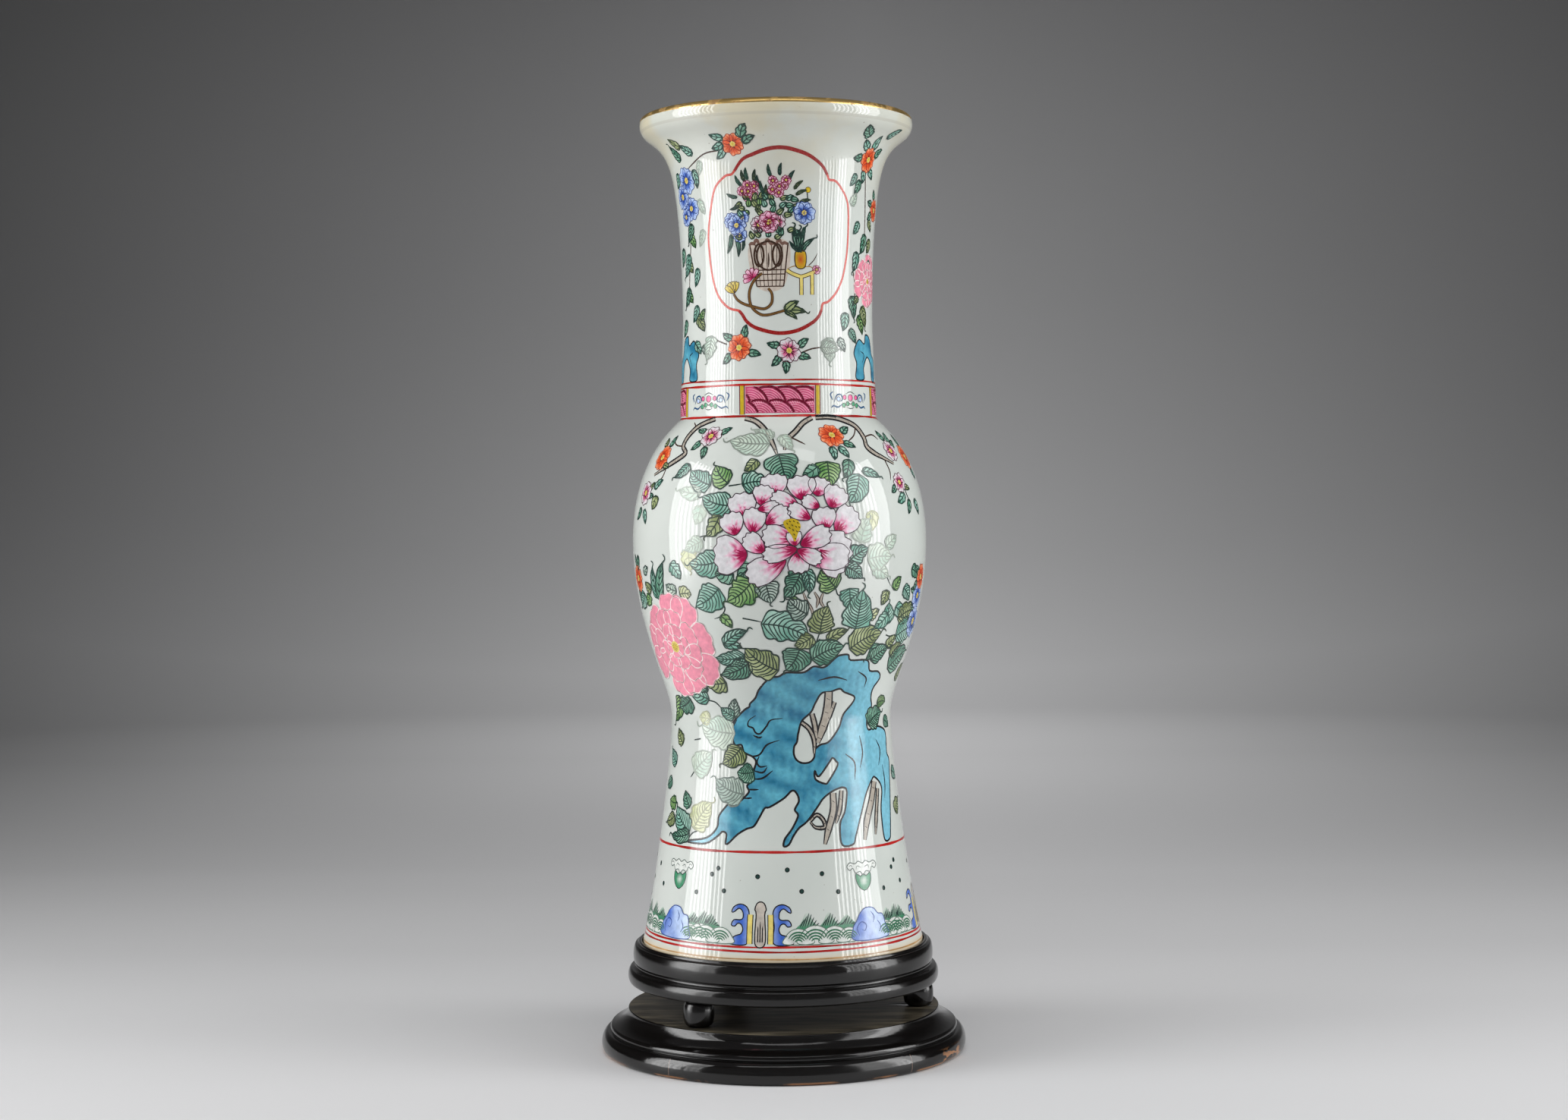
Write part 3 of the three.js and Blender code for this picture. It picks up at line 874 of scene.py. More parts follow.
def leaf(coats, base, tip, width, tone, veins=5, bend=0.08, heart=False, faint=0.0):
    """A veined leaf from its stem end to its tip, both as (degrees from the front, height). The width
    is a share of its length. A faint leaf has paler lines."""
    (angle_a, height_a), (angle_b, height_b) = base, tip
    middle = (height_a + height_b) / 2
    radius = SKIN.radius_at(middle)
    across = math.radians(angle_b - angle_a) * radius
    up = SKIN.along_at(height_b) - SKIN.along_at(height_a)
    length = math.hypot(across, up)
    spot = Spot((angle_a + angle_b) / 2, middle, math.degrees(math.atan2(up, across)))
    draw = random.Random(round(angle_a * 11 + height_a * 17))
    dark, light = LEAF_TONES[tone]
    lift = coats.next_lift()
    line = min(0.42, length * 0.03)
    n = 21
    t = np.linspace(0, 1, n)
    spine = np.stack([(t - 0.5) * length, bend * length * (np.sin(math.pi * t) - 0.5)], 1)
    slope = np.gradient(spine, axis=0)
    slope /= np.linalg.norm(slope, axis=1)[:, None]
    out = np.stack([-slope[:, 1], slope[:, 0]], 1)
    fullness = np.sin(math.pi * t ** (0.5 if heart else 0.62)) ** (0.55 if heart else 0.68)
    notch = 1 - np.abs(np.sin(t * math.pi * draw.uniform(2.4, 3.8) + draw.uniform(0, 2)))
    half = length * width * 0.57 * fullness * (1.05 - draw.uniform(0.16, 0.3) * notch ** 2)
    half *= 1 - 0.55 * np.clip((t - 0.8) / 0.2, 0, 1) ** 1.5
    half[[0, -1]] = 0
    columns = (-1, -0.8, -0.4, 0, 0.4, 0.8, 1)
    xy = np.vstack([spine + out * (half * c)[:, None] for c in columns])
    side = np.repeat(columns, n)
    faces = []
    for c in range(len(columns) - 1):
        for i in range(n - 1):
            faces.append((c * n + i, c * n + i + 1, (c + 1) * n + i + 1, (c + 1) * n + i))
    share = 0.5 + 0.3 * side * draw.choice((-1, 1)) + 0.3 * mottle(xy, length * 0.5, draw.randrange(99))
    lifts = np.where(np.abs(side) > 0.99, lift - EDGE, lift)
    coats.fill.lay(spot, xy, lifts, faces, mix(dark, light, share))
    ink = mix(mix(INK_GREEN, dark * 0.4, draw.uniform(0.1, 0.35)), light, faint * 1.1)
    for way in (-1, 1):
        edge = spine + out * (half * way)[:, None]
        stroke(coats.ink, spot, edge[::2], 0.52 + line, ink, taper=(0.7, 0.6), step=1.1, lift=lift)
        for k in range(veins):
            root = 0.04 + 0.66 * k / max(veins - 1, 1)
            reach = min(root + 0.24, 0.96)
            vein = []
            for place, spread in ((root, 0), (root + (reach - root) * 0.35, 0.48), (reach, 0.9)):
                along = spine + out * (half * way * spread)[:, None]
                vein.append((np.interp(place, t, along[:, 0]), np.interp(place, t, along[:, 1])))
            stroke(coats.ink, spot, vein, 0.28 + line, ink, taper=(1, 0.6), step=1.5, lift=lift)
    stroke(coats.ink, spot, [*spine[::3], spine[-1]], 0.4 + line, ink, taper=(1, 0.6), step=1.4, lift=lift)
    if length > 11:
        curl = draw.choice((-1, 1)) * 0.06
        tail = [(0.49, 0), (0.57, curl), (0.64, curl * 0.6), (0.68, -curl * 0.8)]
        base_y = spine[-1][1]
        tail = [(x * length, base_y + y * length) for x, y in tail]
        stroke(coats.ink, spot, tail, 0.4 + line, ink, taper=(1, 0.5), step=1.2, lift=lift)


def leaves(coats, rows):
    """Leaves from rows of what leaf() takes."""
    for row in rows:
        leaf(coats, *row)


def petal_outline(length, width, lobes, depth):
    """A petal along +X from the origin, with a scalloped end."""
    side = [(0.02, 0.1), (0.26, 0.36), (0.56, 0.5)]
    end = []
    for i in range(lobes * 4 + 1):
        turn = math.pi * (0.37 - 0.74 * i / (lobes * 4))
        wave = 1 - depth * (0.5 + 0.5 * math.cos(math.pi * i / 2))
        end.append(((0.6 + 0.42 * math.cos(turn)) * wave, math.sin(turn) * 0.57 * wave))
    points = side + end + [(x, -y) for x, y in reversed(side)]
    return [(x * length, y * width) for x, y in points]


def moved(points, at, turn):
    c, s = heading(turn)
    p = np.asarray(points, float)
    return np.stack([p[:, 0] * c - p[:, 1] * s + at[0], p[:, 0] * s + p[:, 1] * c + at[1]], 1)


def petal(coats, spot, at, turn, length, width, tints, ink, lobes=3, depth=0.08, line=0.42, lift=GROUND):
    """One petal from its root. The tints run from the root to the end, each with its share of the way."""
    outline = moved(petal_outline(length, width, lobes, depth), at, turn)
    loop = spline(outline, True, max(0.7, length / 16))
    shares = [share for share, _ in tints]

    def tint_at(_, xy):
        reach = xy - np.array(at)
        far = np.hypot(*reach.T) / length
        fibre = np.arctan2(reach[:, 1], reach[:, 0])
        far = far + 0.1 * np.sin(fibre * 19 + turn) + 0.07 * np.sin(fibre * 41 + length)
        return np.stack([np.interp(far, shares, [tint[i] for _, tint in tints]) for i in range(3)], 1)

    centre = moved([(length * 0.5, 0)], at, turn)[0]
    fan(coats.fill, spot, loop, tint_at, centre, rings=(0.2, 0.4, 0.6, 0.78, 0.93, 1), lift=lift)
    if line:
        stroke(coats.ink, spot, outline, line, ink, closed=True, lift=lift)


FLOWERS = {
    "orange": ((0.1, ORANGE), (0.7, ORANGE), (1, ORANGE_PALE)),
    "white": ((0.15, ROSE_DEEP), (0.45, ROSE), (0.75, PETAL_WHITE)),
    "blue": ((0.1, BLUE * 0.7), (0.42, BLUE), (0.78, BLUE_PALE)),
    "pink": ((0.15, ROSE_DEEP * 1.3), (0.4, ROSE), (0.75, ROSE_PALE)),
}
FLOWER_INKS = {
    "orange": seen(150, 40, 24),
    "white": seen(84, 30, 50),
    "blue": seen(34, 58, 122),
    "pink": seen(120, 24, 60),
}


def stamen_tint(share, xy):
    return mix(YELLOW, YELLOW_PALE, share)


def blossom(coats, angle, height, radius, kind, turn=0, petals=5):
    """A small open flower seen from the front."""
    spot = Spot(angle, height, turn)
    lift = coats.next_lift()
    draw = random.Random(round(angle * 7 + height * 3))
    ink = FLOWER_INKS[kind]
    for i in range(petals):
        way = 360 * i / petals + draw.uniform(-8, 8)
        size = radius * draw.uniform(0.93, 1.07)
        rise = lift + 0.006 * i
        petal(coats, spot, (0, 0), way, size, size * 1.05, FLOWERS[kind], ink, 2, 0.12, 0.4, rise)
        for k in (-1, 0, 1):
            c, s = heading(way + k * 14)
            line = [(c * radius * 0.24, s * radius * 0.24), (c * radius * 0.62, s * radius * 0.62)]
            stroke(coats.ink, spot, line, 0.3, ink, taper=(1, 0.2), step=1.5, lift=lift + 0.03)
    top = lift + 0.05
    fan(coats.fill, spot, disc(radius * 0.24), stamen_tint, lift=top)
    for i in range(7):
        a = 2 * math.pi * i / 7 + 0.3
        dot = [(math.cos(a) * radius * r, math.sin(a) * radius * r) for r in (0.2, 0.36)]
        stroke(coats.ink, spot, dot, 0.4, INK_BROWN, taper=(0.3, 1), step=1, lift=top)


def sprig(coats, angle, height, radius, kind, leaf_length, turns, tone="teal", width=0.5):
    """A blossom with leaves that stand out round it at the given turns, in degrees anticlockwise
    from the right."""
    round_vase = SKIN.radius_at(height)

    def beside(turn, reach):
        c, s = heading(turn)
        return angle + math.degrees(reach * c / round_vase), height + reach * s

    for i, turn in enumerate(turns):
        near = radius * 0.85
        tip = beside(turn + 12, near + leaf_length)
        leaf(coats, beside(turn, near), tip, width, tone if i % 3 else "dark", 3)
    blossom(coats, angle, height, radius, kind, turn=turns[0] * 1.7)


def twig(coats, points, width=1.0, tint=INK_BROWN):
    stroke(coats.ink, UPRIGHT, points, width, tint, taper=(1, 0.4), lift=GROUND)


def branch(coats, points, width):
    """A knotted grey branch with ink along its sides."""
    outlined(coats, UPRIGHT, points, width, BARK, INK_BLACK, 0.95, taper=(0.9, 0.45))
    line = spline(points, step=5)
    for i in range(1, len(line) - 1, 2):
        knot = [line[i] + (-width * 0.3, 0.4), line[i] + (width * 0.25, -0.5)]
        stroke(coats.ink, UPRIGHT, knot, 0.5, INK_BLACK, lift=GROUND + 0.04)


def great_peony(coats, angle, height):
    """The large open peony: white petals with crimson roots, laid from the back to the front. Each row
    is a petal's root, the way it points, its length and its width."""
    spot = Spot(angle, height)
    tints = (
        (0.06, ROSE_DEEP), (0.16, ROSE_DEEP * 1.25), (0.3, ROSE), (0.45, ROSE_PALE), (0.57, PETAL_WHITE),
    )
    rows = [
        (-2, 20, 95, 12, 14), (20, 20, 78, 10, 12),
        (12, 18, 92, 13, 15), (27, 14, 62, 12, 14), (-18, 8, 100, 14, 15), (-9, 15, 82, 11, 11),
        (30, 1, 45, 16, 15), (-23, 0, 108, 12, 13), (-17, -10, 182, 18, 20), (20, -8, 330, 18, 18),
        (11, -11, 8, 28, 20), (-14, 1, 82, 13, 12), (24, 2, 94, 12, 13), (10, 14.5, 158, 15, 9),
        (21, 14, 152, 10, 7), (-11, 13, 12, 11, 6), (3, -13, 206, 22, 14), (10, -9, 268, 11, 11),
        (16, 8, 150, 13, 8), (-7, 5.5, 32, 14, 10), (-8, -9, 140, 13, 10), (11, -5.5, 24, 17, 11),
        (8, -2.5, 172, 17, 12), (9, -7.5, 192, 18, 9), (9, -8, 336, 14, 8), (8, -6, 96, 8, 8),
    ]
    lift = coats.base
    ground = [
        (29 * math.cos(a) + 3, 19 * math.sin(a)) for a in np.linspace(0, 2 * math.pi, 24, endpoint=False)
    ]
    patch(coats.fill, spot, spline(ground, True, 1.5), (), flat_tint(PETAL_WHITE, 0.03), 2.4, lift)
    for x, y, turn, length, width in rows:
        lift += 0.014
        long, wide = length * 1.02, width * 1.02
        petal(coats, spot, (x, y), turn, long, wide, tints, seen(64, 44, 56), 4, 0.07, 0.5, lift)
        for k in (-24, -9, 7, 22):
            c, s = heading(turn + k)
            vein = [(x + c * length * r, y + s * length * r) for r in (0.06, 0.36)]
            stroke(coats.fill, spot, vein, 0.7, ROSE_DEEP, taper=(1, 0.15), step=1.5, lift=lift)
    heart = [(2, 6.5), (5.5, 8.2), (9.5, 7.2), (11, 4), (9.5, 0), (8, -4), (6, -0.5), (3.4, 3)]
    yellow = lambda share, xy: mix(YELLOW * 0.8, YELLOW, share)
    fan(coats.fill, spot, spline(heart, True), yellow, lift=lift + 0.03)
    stamens = [
        (3.6, 6), (5, 7.2), (7, 7.3), (9, 6.4), (6.2, 5.2), (8.2, 4.4),
        (9.8, 4.2), (4.8, 3.8), (6.6, 2.8), (8.6, 2), (7.2, 0.4), (7.8, -1.8),
    ]
    for x, y in stamens:
        stroke(coats.ink, spot, [(x, y), (x + 0.9, y - 0.9)], 0.6, seen(70, 62, 20), lift=lift + 0.04)


def flat_peony(coats, angle, height, size=1.0):
    """The peony in opaque pink, its petals parted by pale gaps. Each row is a ring of petals: how many,
    how far out their roots are, their length and width, and the ring's turn."""
    spot = Spot(angle, height)
    gap = seen(238, 214, 214)
    lift = coats.base
    rings = ((9, 12, 17, 19, 12), (8, 7.5, 13, 14, 30), (6, 3.5, 9, 10, 5), (5, 1, 6, 7, 50))
    for count, root, length, width, start in rings:
        for i in range(count):
            turn = start + 360 * i / count + 9 * math.sin(i * 2.3)
            long = length * (1 + 0.12 * math.sin(i * 1.7 + start)) * size
            c, s = heading(turn)
            at = (c * root * size, s * root * size)
            lift += 0.009
            tint = FLAT_PINK * (1 + 0.05 * math.sin(i * 5.1 + count))
            tints = ((0, tint * 1.02), (0.8, tint), (1, tint * 0.97))
            petal(coats, spot, at, turn, long, width * size, tints, gap, 3, 0.06, 0.62, lift)
            edge = moved(petal_outline(long, width * size, 3, 0.06), at, turn)
            for part in (edge[3:9], edge[-9:-5]):
                stroke(coats.ink, spot, part, 0.34, seen(118, 66, 70), lift=lift + 0.02)
    top = lift + 0.05
    fan(coats.fill, spot, disc(3.2 * size), stamen_tint, lift=top)
    for i in range(9):
        a = 0.7 * i
        dot = [(math.cos(a) * r * size, math.sin(a) * r * size) for r in (1.0, 2.4)]
        stroke(coats.ink, spot, dot, 0.4, seen(96, 74, 20), lift=top)


def rock_tint_and_painted_highlight(xy):
    deep = 0.42 + 0.42 * mottle(xy, 15, 4) + 0.22 * mottle(xy, 4, 9)
    # Paler towards the right as a painted highlight; also paler at the low left.
    right = np.clip((xy[:, 0] - 28) / 45, 0, 0.75)
    low_left = np.clip((-26 - xy[:, 0]) / 22, 0, 0.8)
    tint = mix(TURQUOISE, TURQUOISE_DEEP, deep - right)
    return mix(tint, TURQUOISE_PALE, np.maximum(right * 0.8, low_left))


# ---- The garden round the belly and the waist ----------------------------------------------------


def scholar_rock(coats):
    """The pierced turquoise garden rock, with bare trunks that show through its openings."""
    outline = [
        (-16.5, 139.8), (-13.5, 143), (-11.5, 147.5), (-6, 153.5), (-1, 154.5), (3, 156.5), (12, 156.5),
        (17.5, 159.5), (23.5, 159), (30, 164), (33, 165.2), (37.5, 165.2), (39, 162.3), (50.4, 161.6),
        (52.5, 156), (59.6, 155), (61.7, 151.5), (56.3, 146), (55, 141), (56, 136), (52.5, 131), (52, 126),
        (54, 123.5), (60, 125), (68, 123.5), (72.5, 120), (73, 110), (76, 105.5), (75, 95), (73, 80),
        (71.5, 69), (70, 64.5), (64.5, 65), (62.5, 80), (64, 92), (58, 98), (55, 97), (50, 90), (46, 80),
        (42, 69), (40, 64.5), (33, 64.8), (32, 75.5), (35, 82), (36.5, 92), (34, 94.5), (28, 93),
        (22.5, 89.5), (19, 85), (13.5, 78), (9, 74.5), (6, 70.5), (3.5, 66), (0.8, 65.2), (1.5, 69),
        (5.5, 74.5), (8.5, 81), (6.8, 84), (9, 88.5), (8, 92.3), (5.5, 94), (1, 90), (-6.5, 85.5),
        (-9, 85), (-12, 80), (-15, 75.5), (-19, 74), (-24, 71), (-29, 66.5), (-31, 66), (-30.5, 71),
        (-33, 72), (-36, 69.5), (-43, 65.5), (-52, 64.8), (-58, 65.5), (-46, 67.5), (-40, 70),
        (-36, 74.5), (-35, 80), (-31, 85), (-27.5, 88), (-23, 88.2), (-20.5, 90), (-17.5, 93.5),
        (-18.5, 96.5), (-15.5, 99.5), (-15, 104), (-13.5, 109), (-15.5, 111.8), (-20, 114),
        (-21.5, 117.8), (-25, 117.6), (-26.6, 121), (-27.3, 127), (-25, 131), (-19.5, 136.5), (-17, 138),
    ]
    arch = [
        (22, 145), (18.5, 140), (16, 135), (11, 130.3), (9, 124), (8.3, 119.5), (6.8, 117), (6.6, 113),
        (8, 110), (11, 108.3), (15, 108.6), (17.5, 111), (18, 115), (21, 117.5), (26, 119), (32, 126),
        (35, 133), (41, 139), (42, 142.3), (35.5, 145), (32.5, 147), (27, 145.6),
    ]
    slot = [
        (17.8, 104), (18.2, 99.5), (23.5, 97), (25.5, 98.2), (31, 106.3), (30, 108.5), (28, 110.3),
        (26, 108), (20, 101),
    ]
    shape(coats, UPRIGHT, outline, rock_tint_and_painted_highlight, 1.05, INK_BLACK, (arch, slot), step=1.3)
    curls = [
        [(-13.4, 133.5), (-17, 131), (-17.8, 128), (-15, 126.8), (-13.8, 124.6), (-11.3, 123.8),
            (-7.6, 128), (-5.5, 131), (0.8, 132)],
        [(-15, 123), (-12, 121.8), (-10, 122.3)],
        [(-20, 114.3), (-16, 112), (-11.5, 113), (-7.6, 118), (-1, 120.5)],
        [(-11.8, 112), (-13, 108.8), (-11.3, 106.5), (-7.6, 107)],
        [(-15, 104.5), (-10, 103.5), (-7.6, 106.3)], [(-15.5, 100), (-10, 100.6), (-4.7, 104.5)],
        [(-18, 94.5), (-12.2, 94.6)], [(-20, 89.8), (-15.9, 90.2)],
        [(-27.5, 88), (-28, 85.8), (-24.3, 86.4)], [(-24, 131), (-27, 126), (-26, 121.5)],
        [(20, 152), (29, 153.5), (37, 151.5)], [(44, 156), (50, 152), (49, 147)],
        [(60, 118), (64, 112), (62, 104)], [(36, 112), (42, 107), (42, 98)],
        [(46, 121), (48, 112), (46, 104)], [(66, 104), (68, 95), (67, 86)],
    ]
    for curl in curls:
        stroke(coats.ink, UPRIGHT, curl, 0.95, INK_BLACK, lift=GROUND + 0.01)
    trunks = [
        ([(26, 145.5), (25.5, 138), (24, 131), (21.5, 124), (19.5, 118.5)], 3.6),
        ([(16.5, 134), (18, 128), (19, 121)], 1.6),
        ([(11, 129.5), (15, 126), (17.6, 120), (17.6, 113)], 1.1),
        ([(29.5, 140), (27, 134), (25, 129)], 1.4), ([(28, 92), (28, 83), (25, 73), (23, 65.5)], 2.6),
        ([(33, 93), (32, 84), (29.5, 76)], 1.3),
        ([(15, 78), (18.5, 81), (22, 78.5), (23, 74.5), (18, 74.5), (15, 77.5)], 0.7),
        ([(57, 96), (54, 86), (50, 76), (48, 66)], 3.2), ([(60, 92), (58, 80), (56.5, 68)], 1.4),
    ]
    for points, width in trunks:
        branch(coats, points, width)


def garden_leaves(coats):
    """The veined leaves round the peonies, from the shoulder down to the waist."""
    leaves(coats, [
        ((-4, 276), (-23, 278), 0.55, "pale", 8, 0.05, False, 0.3),
        ((1, 281), (6, 273), 0.5, "pale", 4, 0, False, 0.4),
        ((-2, 280), (-12, 284), 0.5, "pale", 5, 0.05, False, 0.35),
        ((-28, 254.5), (-39, 262.5), 0.6, "teal", 7), ((-18, 243.5), (-31, 248.5), 0.62, "teal", 7),
        ((-20.5, 255.5), (-27, 265), 0.75, "green"), ((-14.5, 255.5), (-4.5, 256.5), 0.78, "teal", 6),
        ((0, 271), (3, 255.5), 0.88, "dark", 8, 0, True), ((16, 264), (9.5, 259.5), 0.62, "dark", 3),
        ((20.5, 267), (20, 253.8), 0.85, "green", 6, 0, True), ((34.5, 260), (28, 245), 0.66, "teal", 7),
        ((-9, 268), (-14, 262), 0.6, "olive", 4), ((31, 268), (27, 258), 0.5, "dark", 4),
        ((36, 262), (45, 259), 0.35, "teal", 4), ((-40, 266), (-47, 259), 0.45, "teal", 5),
        ((-22.5, 239), (-28, 228), 0.62, "olive", 4),
        ((-31, 244.5), (-33, 234.5), 0.7, "pale", 3, 0.05, False, 0.6),
        ((-32, 250.5), (-43, 252.5), 0.45, "pale", 4, 0.05, False, 0.5),
        ((-36.5, 221.5), (-36, 210), 0.8, "cream", 3, 0, False, 0.5),
        ((-22.5, 215), (-36, 213.5), 0.66, "teal", 7), ((-17.5, 208), (-25, 209), 0.78, "dark", 4),
        ((-10, 204.5), (-20.5, 193.5), 0.76, "green", 7),
        ((-5.5, 204.5), (-3.5, 193.5), 0.95, "grey", 6, 0, True),
        ((8.5, 210.5), (2, 196), 0.62, "dark", 8), ((10, 211), (11.5, 198), 0.45, "teal", 5),
        ((21.5, 200.5), (16, 212), 0.85, "green", 7), ((25, 213), (35, 222), 0.6, "teal", 7),
        ((25.5, 212), (33, 206), 0.62, "teal", 6),
        ((35, 216), (47, 217), 0.75, "pale", 6, 0.05, False, 0.5),
        ((31.5, 224.5), (35.5, 237), 0.75, "pale", 4, 0.08, False, 0.5),
        ((38, 241), (36, 230), 0.6, "cream", 3, 0.08, False, 0.5),
        ((-23.5, 200.5), (-34.5, 191), 0.76, "teal", 7),
        ((27.5, 200.5), (28.5, 189.5), 0.9, "teal", 6, 0, True),
        ((38, 212), (46, 206), 0.6, "pale", 4, 0, False, 0.4), ((-69, 243.5), (-73, 237), 0.4, "dark", 3),
        ((-66, 242.5), (-63, 235), 0.42, "teal", 3), ((-57, 250), (-58.5, 242.5), 0.7, "olive", 3),
        ((-60, 254), (-54.5, 258.5), 0.42, "teal", 3), ((59, 250), (53, 245), 0.45, "teal", 3),
        ((62, 247), (60, 239), 0.42, "dark", 3), ((67, 247), (70, 239), 0.42, "teal", 3),
        ((-72, 218), (-73, 209), 0.4, "dark", 3), ((-66, 208), (-62, 212), 0.6, "grey", 3),
        ((-55.5, 194), (-51, 215), 0.3, "dark", 5), ((-57, 195), (-58.5, 212), 0.32, "teal", 5),
        ((-42.5, 198), (-36.5, 198), 0.85, "cream", 4), ((-44, 199), (-50, 202.5), 0.6, "pale", 4),
        ((-63, 197), (-67, 191), 0.7, "green", 4), ((-61, 199), (-66, 203.5), 0.6, "olive", 4),
        ((46, 199), (44, 191), 0.62, "olive", 4), ((50, 199), (54, 206), 0.6, "green", 4),
        ((53, 190), (60, 184), 0.6, "teal", 4), ((47, 170), (41, 162), 0.6, "dark", 4),
        ((52, 168), (58, 174), 0.6, "olive", 4), ((49, 186), (42, 179), 0.62, "teal", 4),
        ((44, 222), (50, 228), 0.6, "pale", 4, 0, False, 0.4),
        ((-30, 226), (-38, 221), 0.6, "pale", 5, 0, False, 0.5),
        ((-46, 214), (-41, 206), 0.62, "teal", 4), ((-9, 217), (-16, 206), 0.62, "dark", 4),
        ((4, 196), (8, 186), 0.5, "green", 4), ((-68, 197), (-76, 190), 0.6, "teal", 5),
        ((62, 210), (70, 205), 0.5, "dark", 4), ((57, 200), (63, 193), 0.6, "teal", 5),
    ])


def waist_leaves(coats):
    """The leaves over the top of the rock."""
    leaves(coats, [
        ((-24, 187), (-19.5, 180.5), 0.5, "green", 3), ((-24.5, 172), (-13.5, 179.5), 0.36, "teal", 5),
        ((-24.5, 172), (-16, 170), 0.42, "teal", 3), ((-15, 165), (-29.5, 163.5), 0.44, "teal", 7),
        ((-13, 161.5), (-27.5, 154.5), 0.5, "dark", 7), ((-1.5, 157), (-15.5, 169), 0.66, "olive", 8),
        ((-26, 150.5), (-37.5, 150.5), 0.7, "olive", 5), ((8.5, 169), (3, 157.5), 0.98, "dark", 7),
        ((13.5, 164), (27.5, 170.5), 0.66, "dark", 8), ((30.5, 169), (46.5, 177), 0.64, "olive", 8),
        ((-7.5, 183.5), (12.5, 175.5), 0.52, "teal", 8), ((16, 177), (18.5, 191.5), 0.8, "olive", 7),
        ((10.5, 187), (3, 195), 0.78, "grey", 6), ((32, 179), (33.5, 199.5), 0.78, "teal", 10, 0, True),
        ((19.5, 173.5), (28.5, 179), 0.42, "olive", 4), ((13.5, 175.5), (6, 170.5), 0.7, "olive", 5),
        ((50.5, 181), (48, 192), 0.68, "teal", 5), ((56, 184), (71, 188), 0.5, "olive", 7),
        ((57.5, 174.5), (76, 178), 0.55, "teal", 8), ((43.5, 162), (53.5, 168.5), 0.62, "dark", 6),
        ((57, 163), (64, 170), 0.6, "olive", 5), ((58, 157), (75, 166), 0.55, "dark", 8),
        ((57, 138), (66, 138), 0.6, "green", 6), ((50, 127), (62.5, 133), 0.78, "dark", 8),
        ((72, 149), (79, 158), 0.5, "olive", 5), ((-24, 132), (-23, 142.5), 0.52, "grey", 5),
        ((-24, 132.5), (-31.5, 137), 0.62, "teal", 5), ((-38, 141), (-52.5, 150), 0.44, "teal", 6),
        ((-37, 146.5), (-47.5, 151.5), 0.36, "dark", 4), ((-50.5, 140.5), (-62.5, 135.5), 0.72, "dark", 8),
        ((-60, 142), (-70, 127.5), 0.42, "green", 6), ((38, 184), (43, 189), 0.6, "cream", 3),
    ])


def lower_leaves(coats):
    """The leaves beside the rock, down to the foot band."""
    leaves(coats, [
        ((-24, 123.2), (-44.5, 127), 0.7, "pale", 8, 0.05, False, 0.4),
        ((-38.5, 131), (-46, 131.5), 0.8, "cream", 3, 0, False, 0.5),
        ((-20, 116), (-30, 107), 0.76, "olive", 7), ((-13.5, 103.5), (-22, 103), 0.98, "dark", 7),
        ((-48.5, 102.5), (-37, 113), 0.76, "pale", 6, 0, False, 0.5),
        ((-18.5, 91.2), (-34, 98.5), 0.7, "grey", 8, 0.08, False, 0.2),
        ((-46, 72.5), (-36, 87), 0.72, "cream", 7, 0.05, False, 0.4),
        ((-50, 83), (-54.5, 91.5), 0.62, "dark", 5), ((-48.5, 70), (-61, 82), 0.62, "teal", 7),
        ((-48, 69), (-63, 66.5), 0.38, "dark", 6), ((-62, 84), (-70, 85), 0.75, "green", 5),
        ((-62, 77), (-71, 73), 0.6, "olive", 5), ((66, 128), (74, 124), 0.6, "dark", 5),
        ((72, 100), (80, 95), 0.62, "teal", 5), ((70, 78), (79, 84), 0.6, "olive", 5),
        ((-66, 105), (-74, 112), 0.6, "teal", 5), ((-60, 116), (-66, 124), 0.6, "olive", 5),
        ((-70, 96), (-78, 92), 0.6, "dark", 5),
    ])


def shoulder(coats):
    """Flowering branches that hang from the neck's band."""
    left_bough = [
        (-36, 290.5), (-43, 288.5), (-49, 286), (-55, 281), (-57.5, 276),
        (-55, 272.5), (-60, 269.5), (-70, 265.5), (-83, 261),
    ]
    right_bough = [
        (20, 290.5), (28, 290.8), (36, 289.5), (45, 286), (50, 280),
        (51.5, 275), (57, 271.5), (64, 269), (73, 266),
    ]
    branch(coats, left_bough, 1.3)
    branch(coats, [(-18, 290.5), (-12, 288.5), (-7, 283.5), (-3, 276), (-1, 271)], 1.5)
    branch(coats, [(18, 290.5), (13, 287.5), (9, 283), (4, 278), (3, 273)], 1.5)
    branch(coats, right_bough, 1.4)
    for points in (
        [(-57, 276), (-64, 277), (-68, 281)], [(-49, 286), (-52, 289)],
        [(50, 280), (57, 281.5), (62, 279)], [(45, 286), (43, 281), (38, 277)],
        [(64, 269), (68, 262), (68, 257)], [(-70, 265), (-74, 259), (-84, 254)], [(-4, 279), (-12, 279)],
        [(6, 280), (14, 276)],
    ):
        twig(coats, points, 0.8)
    sprig(coats, -34, 281, 6.6, "white", 6.5, (10, 205, 255, 150), "dark", 0.45)
    sprig(coats, 26, 281, 7.6, "orange", 7, (8, 250, 285, 320), "teal", 0.45)
    sprig(coats, -62, 270.5, 7.4, "orange", 6, (60, 110, 320), "olive", 0.45)
    sprig(coats, 60, 273, 6.4, "white", 6, (50, 95, 20), "dark", 0.45)
    sprig(coats, 75, 270, 7.5, "orange", 6, (80, 270), "teal", 0.45)
    sprig(coats, 57, 256, 5.6, "white", 6, (200, 330), "olive", 0.45)
    sprig(coats, -67, 251.5, 6.6, "white", 5, (340, 20), "olive", 0.45)


